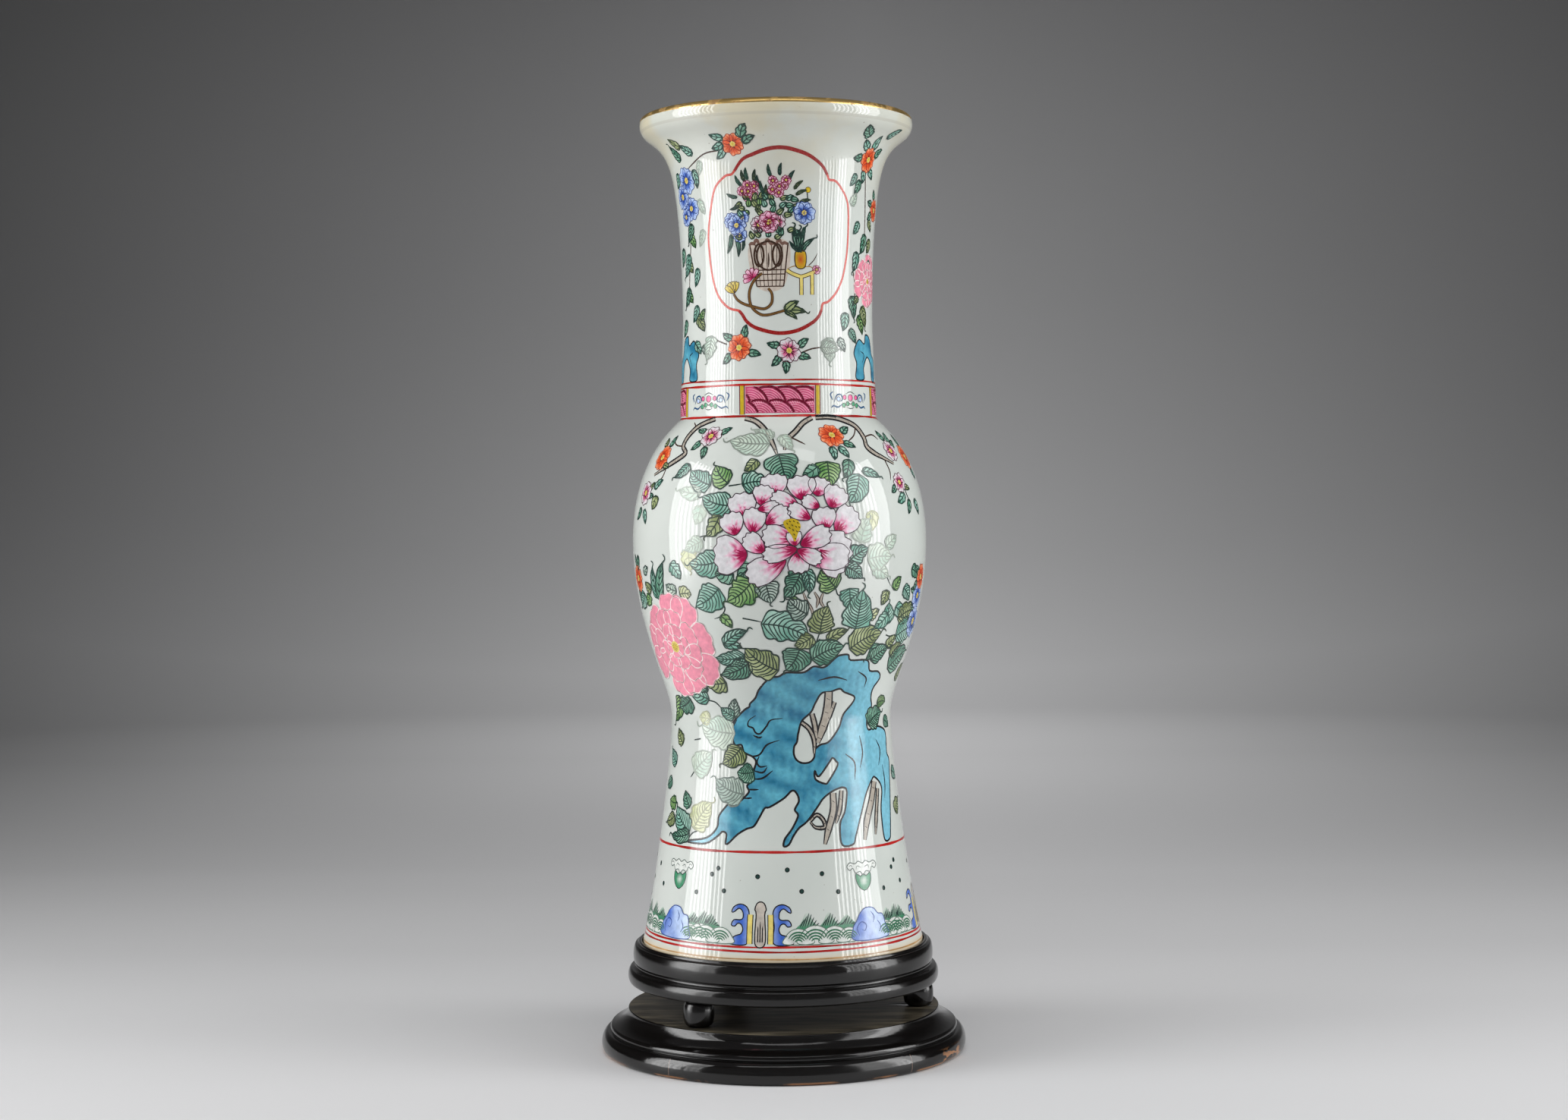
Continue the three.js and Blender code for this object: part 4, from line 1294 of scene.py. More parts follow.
def garden_stems(coats):
    """Stems between the leaves, and the flowers at the sides."""
    for points in (
        degrees((-20, 254.5), (-17, 255), (-14.5, 255.5)),
        degrees((-22.5, 193), (-22, 190), (-24, 186.5), (-27, 185)),
        degrees((-15, 185.5), (-11, 184.5), (-7.5, 183.5)),
        degrees((50, 174.8), (53, 174), (57.5, 174.8)), degrees((21.5, 201), (23, 197), (26, 200)),
        degrees((40, 213), (44, 208), (48, 201)), degrees((-35, 227), (-31, 228), (-28, 229)),
        degrees((32, 179), (30, 175), (30.5, 170)), degrees((16, 177), (15, 172), (14, 165)),
        degrees((-2, 158), (-8, 157), (-14, 160)), degrees((-20, 170), (-17, 166.5), (-14, 165)),
        degrees((-38, 141), (-34, 140), (-31, 137)), degrees((-45, 120), (-50, 119)),
        degrees((-48, 103), (-51, 99)), degrees((-50, 64.5), (-46, 70), (-40, 72)),
        degrees((62, 246), (60, 252), (58, 256)),
    ):
        twig(coats, points, 0.75, INK_GREEN)
    for points in (
        [(12, 199), (14, 194), (16.5, 190), (17, 186)], [(18, 199), (20, 195), (19, 190.5)],
        [(23, 199), (21.5, 194), (24, 190)],
    ):
        outlined(coats, UPRIGHT, points, 0.8, BARK, INK_BROWN, 0.5)
    sprig(coats, -74, 205.5, 7.5, "orange", 7, (95, 250), "dark", 0.4)
    sprig(coats, 73, 205, 7, "orange", 7, (140, 200), "dark", 0.4)
    sprig(coats, 73, 181, 9, "blue", 6, (180, 120), "teal", 0.5)
    sprig(coats, 72, 195, 7.5, "blue", 6, (150,), "teal", 0.5)


# ---- The neck ------------------------------------------------------------------------------------


def basket_weave(coats):
    """The beige basket with its knotted handles, and the cords that hang from it."""
    body = [(-14.6, 382.4), (5.9, 383), (3.4, 360), (-10.8, 360)]
    weave = flat_tint(seen(196, 184, 172), 0.1, 3, 5)
    fan(coats.fill, UPRIGHT, spline(body, True), lambda share, xy: weave(xy))
    for share in np.linspace(0, 1, 8):
        upright = [mix_points(body[0], body[1], share), mix_points(body[3], body[2], share)]
        stroke(coats.ink, UPRIGHT, upright, 0.4, INK_BROWN, (1, 1))
    for share in (0.62, 0.72, 0.86, 1):
        level = [mix_points(body[0], body[3], share), mix_points(body[1], body[2], share)]
        stroke(coats.ink, UPRIGHT, level, 0.6, INK_BROWN, (1, 1))
    for side in (0, 1):
        top, bottom = body[side], body[3 - side]
        edge = [top, mix_points(top, bottom, 0.5), bottom]
        stroke(coats.ink, UPRIGHT, edge, 0.7, INK_BROWN, (1, 1))
    for x in (-13.5, -11, -8, -5, -2, 1, 4):
        lump = [(x - 1.5, 381.8), (x, 383.6 + math.sin(x)), (x + 1.7, 382)]
        stroke(coats.ink, UPRIGHT, lump, 1.7, seen(112, 84, 74), (0.5, 0.5), lift=GROUND + 0.02)
    loops = ((-9.6, 376.4, 2.5, 5.8), (0.2, 376.4, 2.5, 5.8), (-4.6, 376.2, 6.2, 7.6))
    for x, y, wide, tall in loops:
        turns = np.linspace(0, 2 * math.pi, 16)[:-1]
        ring = [(x + wide * math.cos(a), y + tall * math.sin(a)) for a in turns]
        stroke(coats.ink, UPRIGHT, ring, 1.05, seen(62, 44, 34), closed=True, lift=GROUND + 0.04)
    stroke(
        coats.ink, UPRIGHT, [(-4.6, 377.5), (-4.4, 374), (-4.6, 370)], 0.8, seen(62, 44, 34),
        lift=GROUND + 0.04,
    )
    brown = seen(112, 80, 40)
    for cord in (
        [(-4.8, 359), (-2.9, 356), (-3.2, 351), (-7, 348.2), (-13.2, 349.5), (-18, 351), (-21.8, 353.4),
            (-24, 356.5)],
        [(-8, 367), (-12.8, 362.6), (-15.1, 356.6), (-14.1, 350), (-10, 345.8), (-5.2, 344.9),
            (4.5, 347.4)],
    ):
        outlined(coats, UPRIGHT, cord, 0.9, brown, INK_BROWN, 0.35, GROUND + 0.04, (0.9, 0.9))


def bracket_table(coats):
    """The yellow table, and the pot on it; the pot's blades are drawn in neck_panel."""
    for leg in (
        [(5, 368.4), (8.5, 366.4), (12.6, 365)], [(12.6, 365), (16, 366), (20.6, 368)],
        [(12.9, 364.5), (12.9, 360), (12.9, 355.4)], [(18.9, 366.6), (18.9, 361), (18.9, 355.7)],
    ):
        outlined(coats, UPRIGHT, leg, 1.5, YELLOW_PALE * 0.95, INK_BROWN, 0.4, GROUND + 0.02, (1, 1))
    for edge in ([(5, 368.8), (9, 370.6), (14, 370.2)], [(14, 370.2), (18, 370.4), (20.6, 368.6)]):
        stroke(coats.ink, UPRIGHT, edge, 0.5, seen(150, 120, 60), lift=GROUND + 0.02)
    pot = [(9.9, 378), (15.2, 378), (14.9, 370.2), (10.2, 370.2)]
    glazed = lambda share, xy: mix(ORANGE * 0.7, YELLOW, share)
    fan(coats.fill, UPRIGHT, spline(pot, True), glazed, lift=GROUND + 0.04)
    stroke(coats.ink, UPRIGHT, pot, 0.55, INK_BROWN, closed=True, lift=GROUND + 0.04)


def neck_panel(coats):
    """The quatrefoil panel with a basket of flowers."""
    outline = degrees(
        (-23, 421), (-18, 426.5), (-12, 429), (-4, 431.5), (3.5, 432), (11, 430.5), (18, 428),
        (25, 423.5), (28.5, 419), (30, 416.5), (34, 416), (38, 413), (43, 407), (45, 400), (45.5, 387),
        (44.5, 376), (41.5, 365), (37, 357.5), (31.5, 352.5), (27.5, 351), (26.5, 347.5), (24.5, 344),
        (20, 340.5), (11, 336.5), (0, 335.3), (-12, 338), (-18, 341.5), (-21, 345.5), (-23, 347.5),
        (-30, 349.5), (-37, 356), (-41, 366), (-43, 379), (-43, 390), (-40, 403), (-36, 413),
        (-29, 418.5), (-25, 419.3),
    )
    stroke(coats.ink, UPRIGHT, outline, 1.3, seen(196, 76, 66), closed=True)
    for arc in (outline[:9], outline[20:29]):
        stroke(coats.ink, UPRIGHT, arc, 2.0, RED_LINE * 0.75, (0.8, 0.8), lift=GROUND + 0.01)
    radius = SKIN.radius_at(395)

    def at(x, y):
        return math.degrees(x / radius), y

    for x, y, turn in (
        (-18.5, 413, 120), (-16.5, 415, 105), (-15, 416, 98), (-11.5, 415, 85), (-9, 412, 100),
        (-7, 409, 104), (-5, 407, 95), (-3, 417.5, 102), (1.6, 418, 84), (6, 415, 62), (9, 411, 45),
        (10, 408, 25), (-21, 407, 160), (-19.5, 403, 200), (12, 404, 15),
    ):
        c, s = heading(turn)
        leaf(coats, at(x, y), at(x + 6.4 * c, y + 6.4 * s), 0.2, "olive" if turn % 2 else "dark", 1)
    draw = random.Random(8)
    for row, count in ((405, 9), (401.5, 9), (398, 8), (389, 6), (386, 7)):
        for i in range(count):
            x = -19 + 29 * (i + draw.random() * 0.7) / count
            turn = math.radians(90 + 5 * (-5 - x) + draw.uniform(-50, 50))
            low = at(x, row + draw.uniform(-1, 1))
            high = at(x + 4.6 * math.cos(turn), low[1] + 4.6 * math.sin(turn))
            leaf(coats, low, high, 0.5, draw.choice(("olive", "green", "teal", "olive", "dark")), 2)
    for x, y, tip_x, tip_y in (
        (-25, 388, -27.5, 378), (-22, 386, -21, 376), (-18, 385, -19, 379), (15, 391, 12.5, 384),
    ):
        leaf(coats, at(x, y), at(tip_x, tip_y), 0.18, "dark", 1)
    for x, y in (
        (-18.1, 410.3), (-14.8, 410), (-11.5, 412.6), (-15.1, 413.3), (-12.1, 408.6), (-15.1, 407.3),
        (-1.8, 415.2), (1.5, 412.3), (4.9, 415.5), (-2.1, 410.6), (1.2, 409), (3.9, 412.6),
    ):
        blossom(coats, *at(x, y), 2.6, "pink", turn=x * 9)
    spot_of(coats, Spot(*at(16.5, 410.6)), (0, 0), 1.5, YELLOW, INK_BROWN, coats.next_lift())
    twig(coats, [(16.5, 409), (16.7, 405), (16.2, 401)], 0.6, INK_GREEN)
    for x, y, size, kind, turn, petals in (
        (-24.5, 395, 4.6, "blue", 20, 6), (-18.6, 396.5, 3.8, "blue", 50, 5),
        (-20.4, 387.6, 4, "blue", 80, 5), (-22, 392.6, 5.4, "blue", 10, 6),
        (14.6, 398.6, 6, "blue", 40, 7), (14, 398.4, 3.4, "blue", 10, 6),
        (-9.5, 392.4, 4.4, "white", 10, 5), (0.4, 393.6, 4.6, "white", 40, 5),
        (-4, 393.8, 5.6, "pink", 15, 7), (-4.6, 393, 3, "pink", 50, 5),
    ):
        blossom(coats, *at(x, y), size, kind, turn, petals)
    spot_of(coats, Spot(*at(-21.6, 392.9)), (0, 0), 2.4, WAVE_GREEN, INK_GREEN, coats.next_lift())
    basket_weave(coats)
    for tip, width in (((11.5, 352.4), 0.4), ((15.9, 346.9), 0.3), ((11, 342.8), 0.26)):
        leaf(coats, at(4, 347), at(*tip), width, "olive", 2)
    gold = ((0.3, YELLOW), (1, YELLOW_PALE))
    pink, pink_ink = FLOWERS["pink"], FLOWER_INKS["pink"]
    for place, turns, length, width, tints, ink in (
        (at(-24.5, 357), (70, 95, 120, 145), 6.5, 3, gold, INK_BROWN),
        (at(-13.5, 364.5), (60, 95, 130, 165, 200), 5.6, 2.4, pink, pink_ink),
    ):
        for turn in turns:
            lift = coats.next_lift()
            petal(coats, Spot(*place), (0, 0), turn, length, width, tints, ink, 2, 0.1, 0.4, lift)
    bracket_table(coats)
    for x, y in ((6.5, 383.5), (8.8, 391), (12, 390), (15, 391.5), (20.5, 386)):
        leaf(coats, at(12.4, 378), at(x, y), 0.18, "dark", 1)
    blossom(coats, *at(22, 369), 2.4, "pink", 0)
    twig(coats, [(17, 371), (20, 374), (22, 377.5)], 0.5)


def mix_points(a, b, share):
    return (a[0] + (b[0] - a[0]) * share, a[1] + (b[1] - a[1]) * share)


def neck_flowers(coats):
    """The sprays on the neck beside and under the panel."""
    sprig(coats, -22, 434.5, 6.6, "orange", 7.5, (35, 145, 175, 5, 200), "teal", 0.45)
    sprig(coats, -23, 328, 6.8, "orange", 7, (60, 130, 330, 210), "dark", 0.45)
    sprig(coats, 6.5, 326, 6.4, "white", 7, (150, 210, 20, 330, 250), "dark", 0.45)
    sprig(coats, 57, 429, 6.8, "orange", 7, (20, 70, 120, 170, 250, 300), "teal", 0.5)
    sprig(coats, 75, 404, 6.5, "orange", 6, (200, 150, 100), "dark", 0.5)
    for x, y, radius, turn in (
        (-59, 419, 7.5, 10), (-66, 411, 7, 40), (-57, 404, 6.5, 70), (-64, 400, 5, 20),
    ):
        blossom(coats, x, y, radius, "blue", turn, 6)
    leaves(coats, [
        ((-48, 432), (-56, 437), 0.42, "teal", 4),
        ((-44, 428), (-48, 420), 0.4, "pale", 4, 0.05, False, 0.4),
        ((-60, 430), (-66, 438), 0.45, "dark", 4), ((-51, 424), (-49, 414), 0.4, "teal", 4),
        ((-58, 396), (-63, 386), 0.45, "dark", 5), ((-63, 380), (-70, 368), 0.45, "teal", 5),
        ((-64, 362), (-71, 352), 0.45, "dark", 5), ((-56, 346), (-48, 338), 0.5, "olive", 5),
        ((-55, 352), (-60, 343), 0.45, "teal", 4), ((-70, 345), (-76, 336), 0.5, "dark", 4),
        ((-54, 372), (-57, 362), 0.4, "teal", 4),
        ((30, 333), (32, 320), 0.62, "pale", 6, 0.05, False, 0.25),
        ((26, 328), (38, 327), 0.55, "pale", 6, 0.05, False, 0.25),
        ((-42, 335), (-46, 322), 0.55, "pale", 6, 0.05, False, 0.25),
        ((63, 390), (58, 379), 0.45, "dark", 4), ((54, 380), (51, 369), 0.42, "teal", 4),
        ((49, 356), (52, 344), 0.45, "dark", 5), ((60, 351), (65, 340), 0.5, "olive", 5),
        ((44, 347), (42, 337), 0.5, "teal", 4), ((70, 388), (66, 380), 0.5, "olive", 4),
        ((-50, 408), (-45, 400), 0.42, "pale", 4, 0.05, False, 0.4),
        ((-47, 392), (-51, 383), 0.42, "pale", 4, 0.05, False, 0.4),
        ((-68, 424), (-72, 416), 0.5, "teal", 4), ((-56, 436), (-62, 441), 0.5, "olive", 3),
        ((-61, 390), (-55, 383), 0.5, "green", 4), ((-66, 376), (-59, 370), 0.55, "olive", 4),
        ((-68, 360), (-60, 354), 0.5, "green", 4), ((-72, 384), (-76, 374), 0.5, "dark", 4),
        ((-58, 332), (-51, 326), 0.55, "teal", 4), ((-50, 330), (-44, 324), 0.5, "grey", 4),
        ((-52, 344), (-48, 350), 0.45, "green", 4), ((47, 404), (51, 411), 0.5, "pale", 4, 0, False, 0.3),
        ((66, 398), (71, 392), 0.5, "olive", 4), ((55, 396), (50, 389), 0.45, "teal", 4),
        ((47, 338), (53, 331), 0.5, "teal", 5), ((56, 346), (61, 336), 0.5, "green", 5),
        ((38, 333), (43, 326), 0.5, "grey", 4), ((53, 418), (49, 410), 0.45, "dark", 4),
        ((68, 376), (73, 371), 0.5, "teal", 4), ((56, 356), (51, 352), 0.5, "olive", 4),
        ((50, 440), (44, 445), 0.5, "dark", 4), ((64, 441), (70, 446), 0.45, "teal", 4),
        ((49, 421), (45, 414), 0.42, "teal", 4),
    ])
    flat_peony(coats, 68, 365, 0.5)
    for points in (
        degrees((-30, 432), (-40, 431), (-50, 427), (-57, 424)),
        degrees((-60, 398), (-61, 385), (-64, 370), (-66, 352)),
        degrees((-31, 330), (-37, 332), (-44, 335)), degrees((14, 325), (20, 327), (27, 328)),
        degrees((57, 422), (60, 410), (62, 396), (62, 380)), degrees((50, 372), (53, 360), (50, 350)),
    ):
        twig(coats, points, 0.8)
    outline = [
        (-13, 312), (-12, 320), (-14, 326), (-9, 333), (-3, 331), (-1, 336), (5, 334), (8, 326),
        (13, 322), (12, 312), (6, 312), (5, 320), (0, 324), (-5, 318), (-5, 312),
    ]
    for mirror, shift in ((1, 66), (-1, -69)):
        rock = [(x * mirror, y) for x, y in outline]
        fold = [(x * mirror, y) for x, y in ((-8, 327), (-4, 325), (-6, 321))]
        shape(coats, Upright(shift), rock, rock_tint_and_painted_highlight, 0.75)
        stroke(coats.ink, Upright(shift), fold, 0.6, INK_BLACK, lift=GROUND + 0.01)


# ---- The band between neck and shoulder ----------------------------------------------------------

BAND_LOW, BAND_HIGH = 293.0, 307.3  # mm above the foot


def neck_band(coats, corner):
    """One crimson panel of overlapping scales between yellow bars, and the white field beside it."""
    radius = SKIN.radius_at(300)
    upright = Upright(corner)
    half = math.radians(20) * radius
    low, high = BAND_LOW, BAND_HIGH
    panel = [(-half, low), (half, low), (half, high), (-half, high)]
    shares = np.linspace(0, 1, 16, endpoint=False)
    loop = [mix_points(a, b, t) for a, b in zip(panel, panel[1:] + panel[:1]) for t in shares]
    rosy = lambda xy: mix(CRIMSON, ROSE, 0.2 + 0.3 * mottle(xy, 6, 3))
    patch(coats.fill, upright, loop, (), rosy, 2.2)
    for row in (-1, 0, 1):
        for column in range(-3, 5):
            cx = (column + 0.5 * (row % 2)) * 9.6 - 2
            cy = low - 5 + row * 7.2
            for share in (1, 0.89, 0.79, 0.69, 0.59, 0.49, 0.39):
                reach = 10.5 * share
                sweep = np.radians(np.linspace(20, 112, 14))
                arc = [(cx + reach * math.cos(a), cy + reach * 1.15 * math.sin(a)) for a in sweep]
                arc = [p for p in arc if abs(p[0]) < half - 0.3 and low + 0.3 < p[1] < high - 0.3]
                if len(arc) > 2:
                    width, tint = (1.3, CRIMSON_DEEP) if share == 1 else (0.36, seen(232, 160, 180))
                    rise = GROUND + (0.04 if share == 1 else 0)
                    stroke(coats.ink, upright, arc, width, tint, (0.9, 0.7), lift=rise)
    for side in (-1, 1):
        for offset, width, tint in (
            (0.55, 0.5, CRIMSON_DEEP), (1.9, 2.0, YELLOW), (3.2, 0.5, CRIMSON_DEEP),
        ):
            x = side * (half + offset)
            bar = [(x, low - 0.6), (x, (low + high) / 2), (x, high + 0.4)]
            stroke(coats.fill, upright, bar, width, tint, (1, 1))
    field = Upright(corner + 45)
    for side in (-1, 1):
        for lines in (
            [(11.5, 299), (9.8, 302.5), (7, 303), (6, 300.5), (7.6, 299.3)],
            [(12.5, 300), (13.8, 303), (12, 304.5)], [(6, 298), (9, 296.3), (12, 297), (13.5, 295.8)],
        ):
            stroke(coats.ink, field, [(x * side, y) for x, y in lines], 0.9, seen(34, 78, 118))
        dabs = [
            (4.4, 301.6, ROSE), (2.2, 298.2, WAVE_GREEN), (5, 297.4, WAVE_GREEN), (8.6, 300.6, BLUE_PALE),
        ]
        for x, y, tint in dabs:
            spot_of(coats, field, (x * side, y), 1.25, tint, INK_BROWN)
    spot_of(coats, field, (0, 301.4), 1.8, ROSE, INK_BROWN)
    for lines in (
        [(-3.5, 303.4), (0, 304.6), (3.5, 303.4)], [(-3, 296.4), (0, 295.6), (3, 296.4)],
        [(-1.6, 299), (0, 298), (1.6, 299)],
    ):
        stroke(coats.ink, field, lines, 0.5, INK_GREEN)


# ---- The foot band -------------------------------------------------------------------------------


def spout(coats, shift, flip):
    """One curled blue jet beside the pillar; its origin is on the band's bottom line."""
    outline = [
        (-4, 15), (-4, 24), (-4.6, 30.5), (-3, 34), (0.5, 35.2), (4, 33.6), (5, 31), (3.6, 31.2), (1, 33),
        (-1, 31.5), (-1.4, 28.3), (0, 27.2), (3.6, 27), (5, 24.4), (3, 23.8), (1.4, 25.3), (-0.5, 24.8),
        (-1.5, 22.5), (-0.5, 20), (3, 18.6), (6, 15),
    ]
    upright = Upright(shift)
    points = [(x * flip, y) for x, y in outline]
    paler_out = lambda xy: mix(BLUE, BLUE_PALE, (np.abs(xy[:, 0]) - 1) / 7)
    shape(coats, upright, points, paler_out, step=0.8, grid=1.4)


def hill_tint(xy):
    return mix(WAVE_GREEN * 0.8, GLAZE_WHITE, (xy[:, 1] - 23) / 9)


def wave_mound(coats, spot, size):
    """A white half-round wave with green arcs in it."""
    over = [
        (-size * math.cos(a), 15 + size * 1.02 * math.sin(a)) for a in np.radians((30, 60, 90, 120, 150))
    ]
    mound = [(-size, 15), *over, (size, 15)]
    lift = coats.next_lift() + 0.02
    foam = flat_tint(GLAZE_WHITE, 0.05, 4, 2)
    shape(coats, spot, mound, foam, 0.45, seen(96, 120, 106), step=0.8, grid=1.8, lift=lift)
    sweep = np.radians(np.linspace(28, 152, 9))
    for reach in (size * share for share in (0.78, 0.6, 0.44, 0.28)):
        arc = [(reach * math.cos(a), 15 + reach * math.sin(a)) for a in sweep]
        stroke(coats.ink, spot, arc, 0.8, WAVE_GREEN * 0.5, (0.5, 0.5), lift=coats.base + 0.16)


def foot_quarter(coats, corner):
    """One quarter of the wave border: the pillar with its jets, rocks, waves, peaks, dots and pendant."""
    radius = SKIN.radius_at(22)

    def along_x(x):
        return corner + math.degrees(x / radius)

    spout(coats, along_x(11.4), 1)
    spout(coats, along_x(-10.9), -1)
    middle = Upright(corner)
    pillar = [
        (-2.6, 15), (-2.3, 30), (-3, 32.5), (-2, 35.6), (0, 36.6), (2, 35.6), (3, 32.5), (2.3, 30),
        (2.6, 15),
    ]
    stone = flat_tint(seen(186, 178, 168))
    shape(coats, middle, pillar, stone, step=0.9, grid=1.4, lift=GROUND + 0.02)
    for x in (-1.2, 0, 1.2):
        groove = [(x, 16), (x, 22), (x, 26.5 - abs(x) * 2)]
        stroke(coats.ink, middle, groove, 0.6, INK_BLACK, (1, 0.3), lift=GROUND + 0.04)
    for side in (-1, 1):
        bar = [(side * 5.6, 15), (side * 5.6, 22), (side * 5.4, 30)]
        outlined(coats, middle, bar, 2.4, YELLOW_PALE, INK_BLACK, 0.5, taper=(1, 1))
    peaks = ((25, 31), (37, 30.5), (47, 28.5), (-29, 29.5), (-40, 28), (75, 29.5), (82, 31))
    for x, top in peaks:
        spot = Upright(along_x(x))
        hill = [(-6, 22), (-3.5, 25.5), (-1, top - 0.6), (0.8, top), (3.2, 26), (6.5, 22)]
        shape(coats, spot, hill, hill_tint, 0, step=0.9, grid=1.6)
        for k in range(7):
            lean = -4 + k * 1.3
            peak = top - abs(lean + 1) * 1.2
            stroke(coats.ink, spot, [(lean, 23.5), (lean + 2.4, peak)], 0.62, INK_GREEN * 1.4)
    mounds = ((20, 7.6), (29, 9), (39.5, 8.2), (48, 7), (-22, 7.6), (-31, 8), (-41, 7), (73, 8), (81, 8.6))
    for x, size in mounds:
        wave_mound(coats, Upright(along_x(x)), size)
    rock = Upright(along_x(62))
    outline = [
        (-11, 15), (-11.5, 21), (-8.5, 25), (-6, 28.5), (-2, 31), (3, 30.5), (6, 27.5), (9.5, 26.5),
        (11, 21), (11.5, 15),
    ]
    washed = lambda xy: mix(BLUE_PALE, BLUE, 0.25 + 0.3 * mottle(xy, 9, 2) - xy[:, 0] / 22)
    shape(coats, rock, outline, washed, 0.55, BLUE * 0.5, step=1, lift=coats.base + 0.17)
    for swirl in (
        [(-8, 17), (-9, 21), (-6, 24), (-3, 22.5), (-4, 19.5), (-6, 20)], [(1, 29), (3, 26), (2, 23)],
        [(5, 24), (7, 21), (6, 18)],
    ):
        stroke(coats.ink, rock, swirl, 0.6, BLUE * 0.55, lift=coats.base + 0.19)
    dots = [
        (-2, 49.5), (14.7, 53), (34.5, 50.5), (22.5, 41.8), (43.5, 40.7),
        (-21.5, 41.5), (-26, 53), (76, 39.7), (86, 49.7),
    ]
    for x, y in dots:
        spot_of(coats, Upright(along_x(x)), (0, y), 1.15, INK_GREEN * 1.5, INK_BLACK)
    pendant(coats, along_x(61))


def pendant(coats, angle):
    """A white cloud collar with a green bud hanging from it."""
    spot = Upright(angle)
    cloud = [
        (-10, 53), (-8.5, 51), (-6.5, 52), (-5, 49.5), (-2, 50), (0, 48), (2, 50), (5, 49.5), (6.5, 52),
        (8.5, 51), (10, 53), (8, 55), (5, 54.2), (2.5, 55.4), (0, 54.2), (-2.5, 55.4), (-5, 54.2),
        (-8, 55),
    ]
    grey = seen(92, 104, 98)
    white = flat_tint(GLAZE_WHITE, 0.03)
    shape(coats, spot, cloud, white, 0.5, grey, step=0.8, grid=1.6, lift=GROUND + 0.02)
    for side in (-1, 1):
        for curl in ([(9, 53), (7.5, 53.6), (6.8, 52.6)], [(1, 52), (3.6, 53), (4.4, 51.4)]):
            curl = [(side * x, y) for x, y in curl]
            stroke(coats.ink, spot, curl, 0.4, grey, lift=GROUND + 0.04)
    bud = [
        (-4.8, 49), (-5, 45.5), (-3.4, 42), (0, 40), (3.4, 42), (5, 45.5), (4.8, 49), (2, 47.6), (0, 48.6),
        (-2, 47.6),
    ]
    pale_heart = lambda xy: mix(
        WAVE_GREEN * 0.9, GLAZE_WHITE, 0.9 - np.hypot(xy[:, 0], xy[:, 1] - 45) / 3.2,
    )
    shape(coats, spot, bud, pale_heart, 0.45, INK_GREEN, step=0.8, grid=1.3)


# ---- Laying the painting -------------------------------------------------------------------------


# Height above the foot and width of each red line.
RED_RINGS = ((310.7, 0.9), (308.2, 1.1), (291.6, 1.2), (62, 1.3), (13.3, 1.05), (11, 1.05))


def dry_scene(name, turn, rise, enamel, ink, *scenes):
    """Paints scenes into one pair of coats."""
    coats = Coats(name, turn, GROUND + rise)
    for scene in scenes:
        scene(coats)
    coats.dry(enamel, ink)


def peonies(coats):
    great_peony(coats, 0, 229)
    flat_peony(coats, -51, 169.5)


def paint_vase(enamel, ink):
    """The picture in front is painted again behind, so that the two meet at the sides."""
    lines = Paint("red_rings")
    for i, (height, width) in enumerate(RED_RINGS):
        ring_line(lines, height, width, RED_LINE, i)
    ring_line(lines, 7.2, 0.8, seen(176, 140, 96), 9)
    lines.dry(enamel)
    band = Coats("neck_band")
    foot = Coats("foot_waves")
    for k in range(4):
        neck_band(band, 1 + 90 * k)
        foot_quarter(foot, -9.3 + 90 * k)
    band.dry(enamel, ink)
    foot.dry(enamel, ink)
    growth = (garden_stems, garden_leaves, waist_leaves, lower_leaves)
    for side, turn in (("front", 0), ("back", 180)):
        dry_scene(f"rock_{side}", turn, 0.03, enamel, ink, scholar_rock)
        dry_scene(f"leaves_{side}", turn, 0.05, enamel, ink, *growth)
        dry_scene(f"shoulder_{side}", turn, 0.04, enamel, ink, shoulder)
        dry_scene(f"peonies_{side}", turn, 0.17, enamel, ink, peonies)
        dry_scene(f"neck_{side}", turn, 0, enamel, ink, neck_panel, neck_flowers)


# ---- Vase and stand ------------------------------------------------------------------------------


def add_piece(piece, material, body, slot, *nodes):
    """Puts a finished piece on its body, in place of any CAD nodes that are named."""
    piece.data.materials.append(material)
    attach(piece, body)
    if nodes:
        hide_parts(*nodes)


def add_vase():
    vase = lathe("vase", vase_underside() + vase_outside() + vase_inside(), vase_low.z, VASE_SEGMENTS)
    add_piece(vase, porcelain(), "vase", "porcelain", "vase_body")


GILT_LIFT = 0.06
GILT_DEPTH = 3.4  # how far the gilt comes down the outside of the lip


def add_rim():
    """The gilt line over the top of the lip."""
    top = [p for p in vase_outside() if p[1] > VASE_HEIGHT - GILT_DEPTH]
    line = Turned(top + vase_inside()[:5], vase_low.z)
    rows = 16
    along = np.linspace(0, line.along[-1], rows)
    lift = np.full(rows, GILT_LIFT)
    lift[[0, -1]] = -GROUND
    verts, faces = [], []
    for k in range(VASE_SEGMENTS):
        verts.append(line.place(np.full(rows, 2 * math.pi * k / VASE_SEGMENTS), along, lift))
        for i in range(rows - 1):
            a, b = k * rows + i, (k + 1) % VASE_SEGMENTS * rows + i
            faces.append((a, b, b + 1, a + 1))
    add_piece(mesh_object("rim_gilt", np.vstack(verts), faces), gilt(), "vase", "gilt")


SPACER_SWELL = 2.0
SLIP = 0.7  # gap between the foot and the collar's recess
RECESS = 6.0
PLINTH_REST = 13.0
PLINTH_RELIEF = 3.0


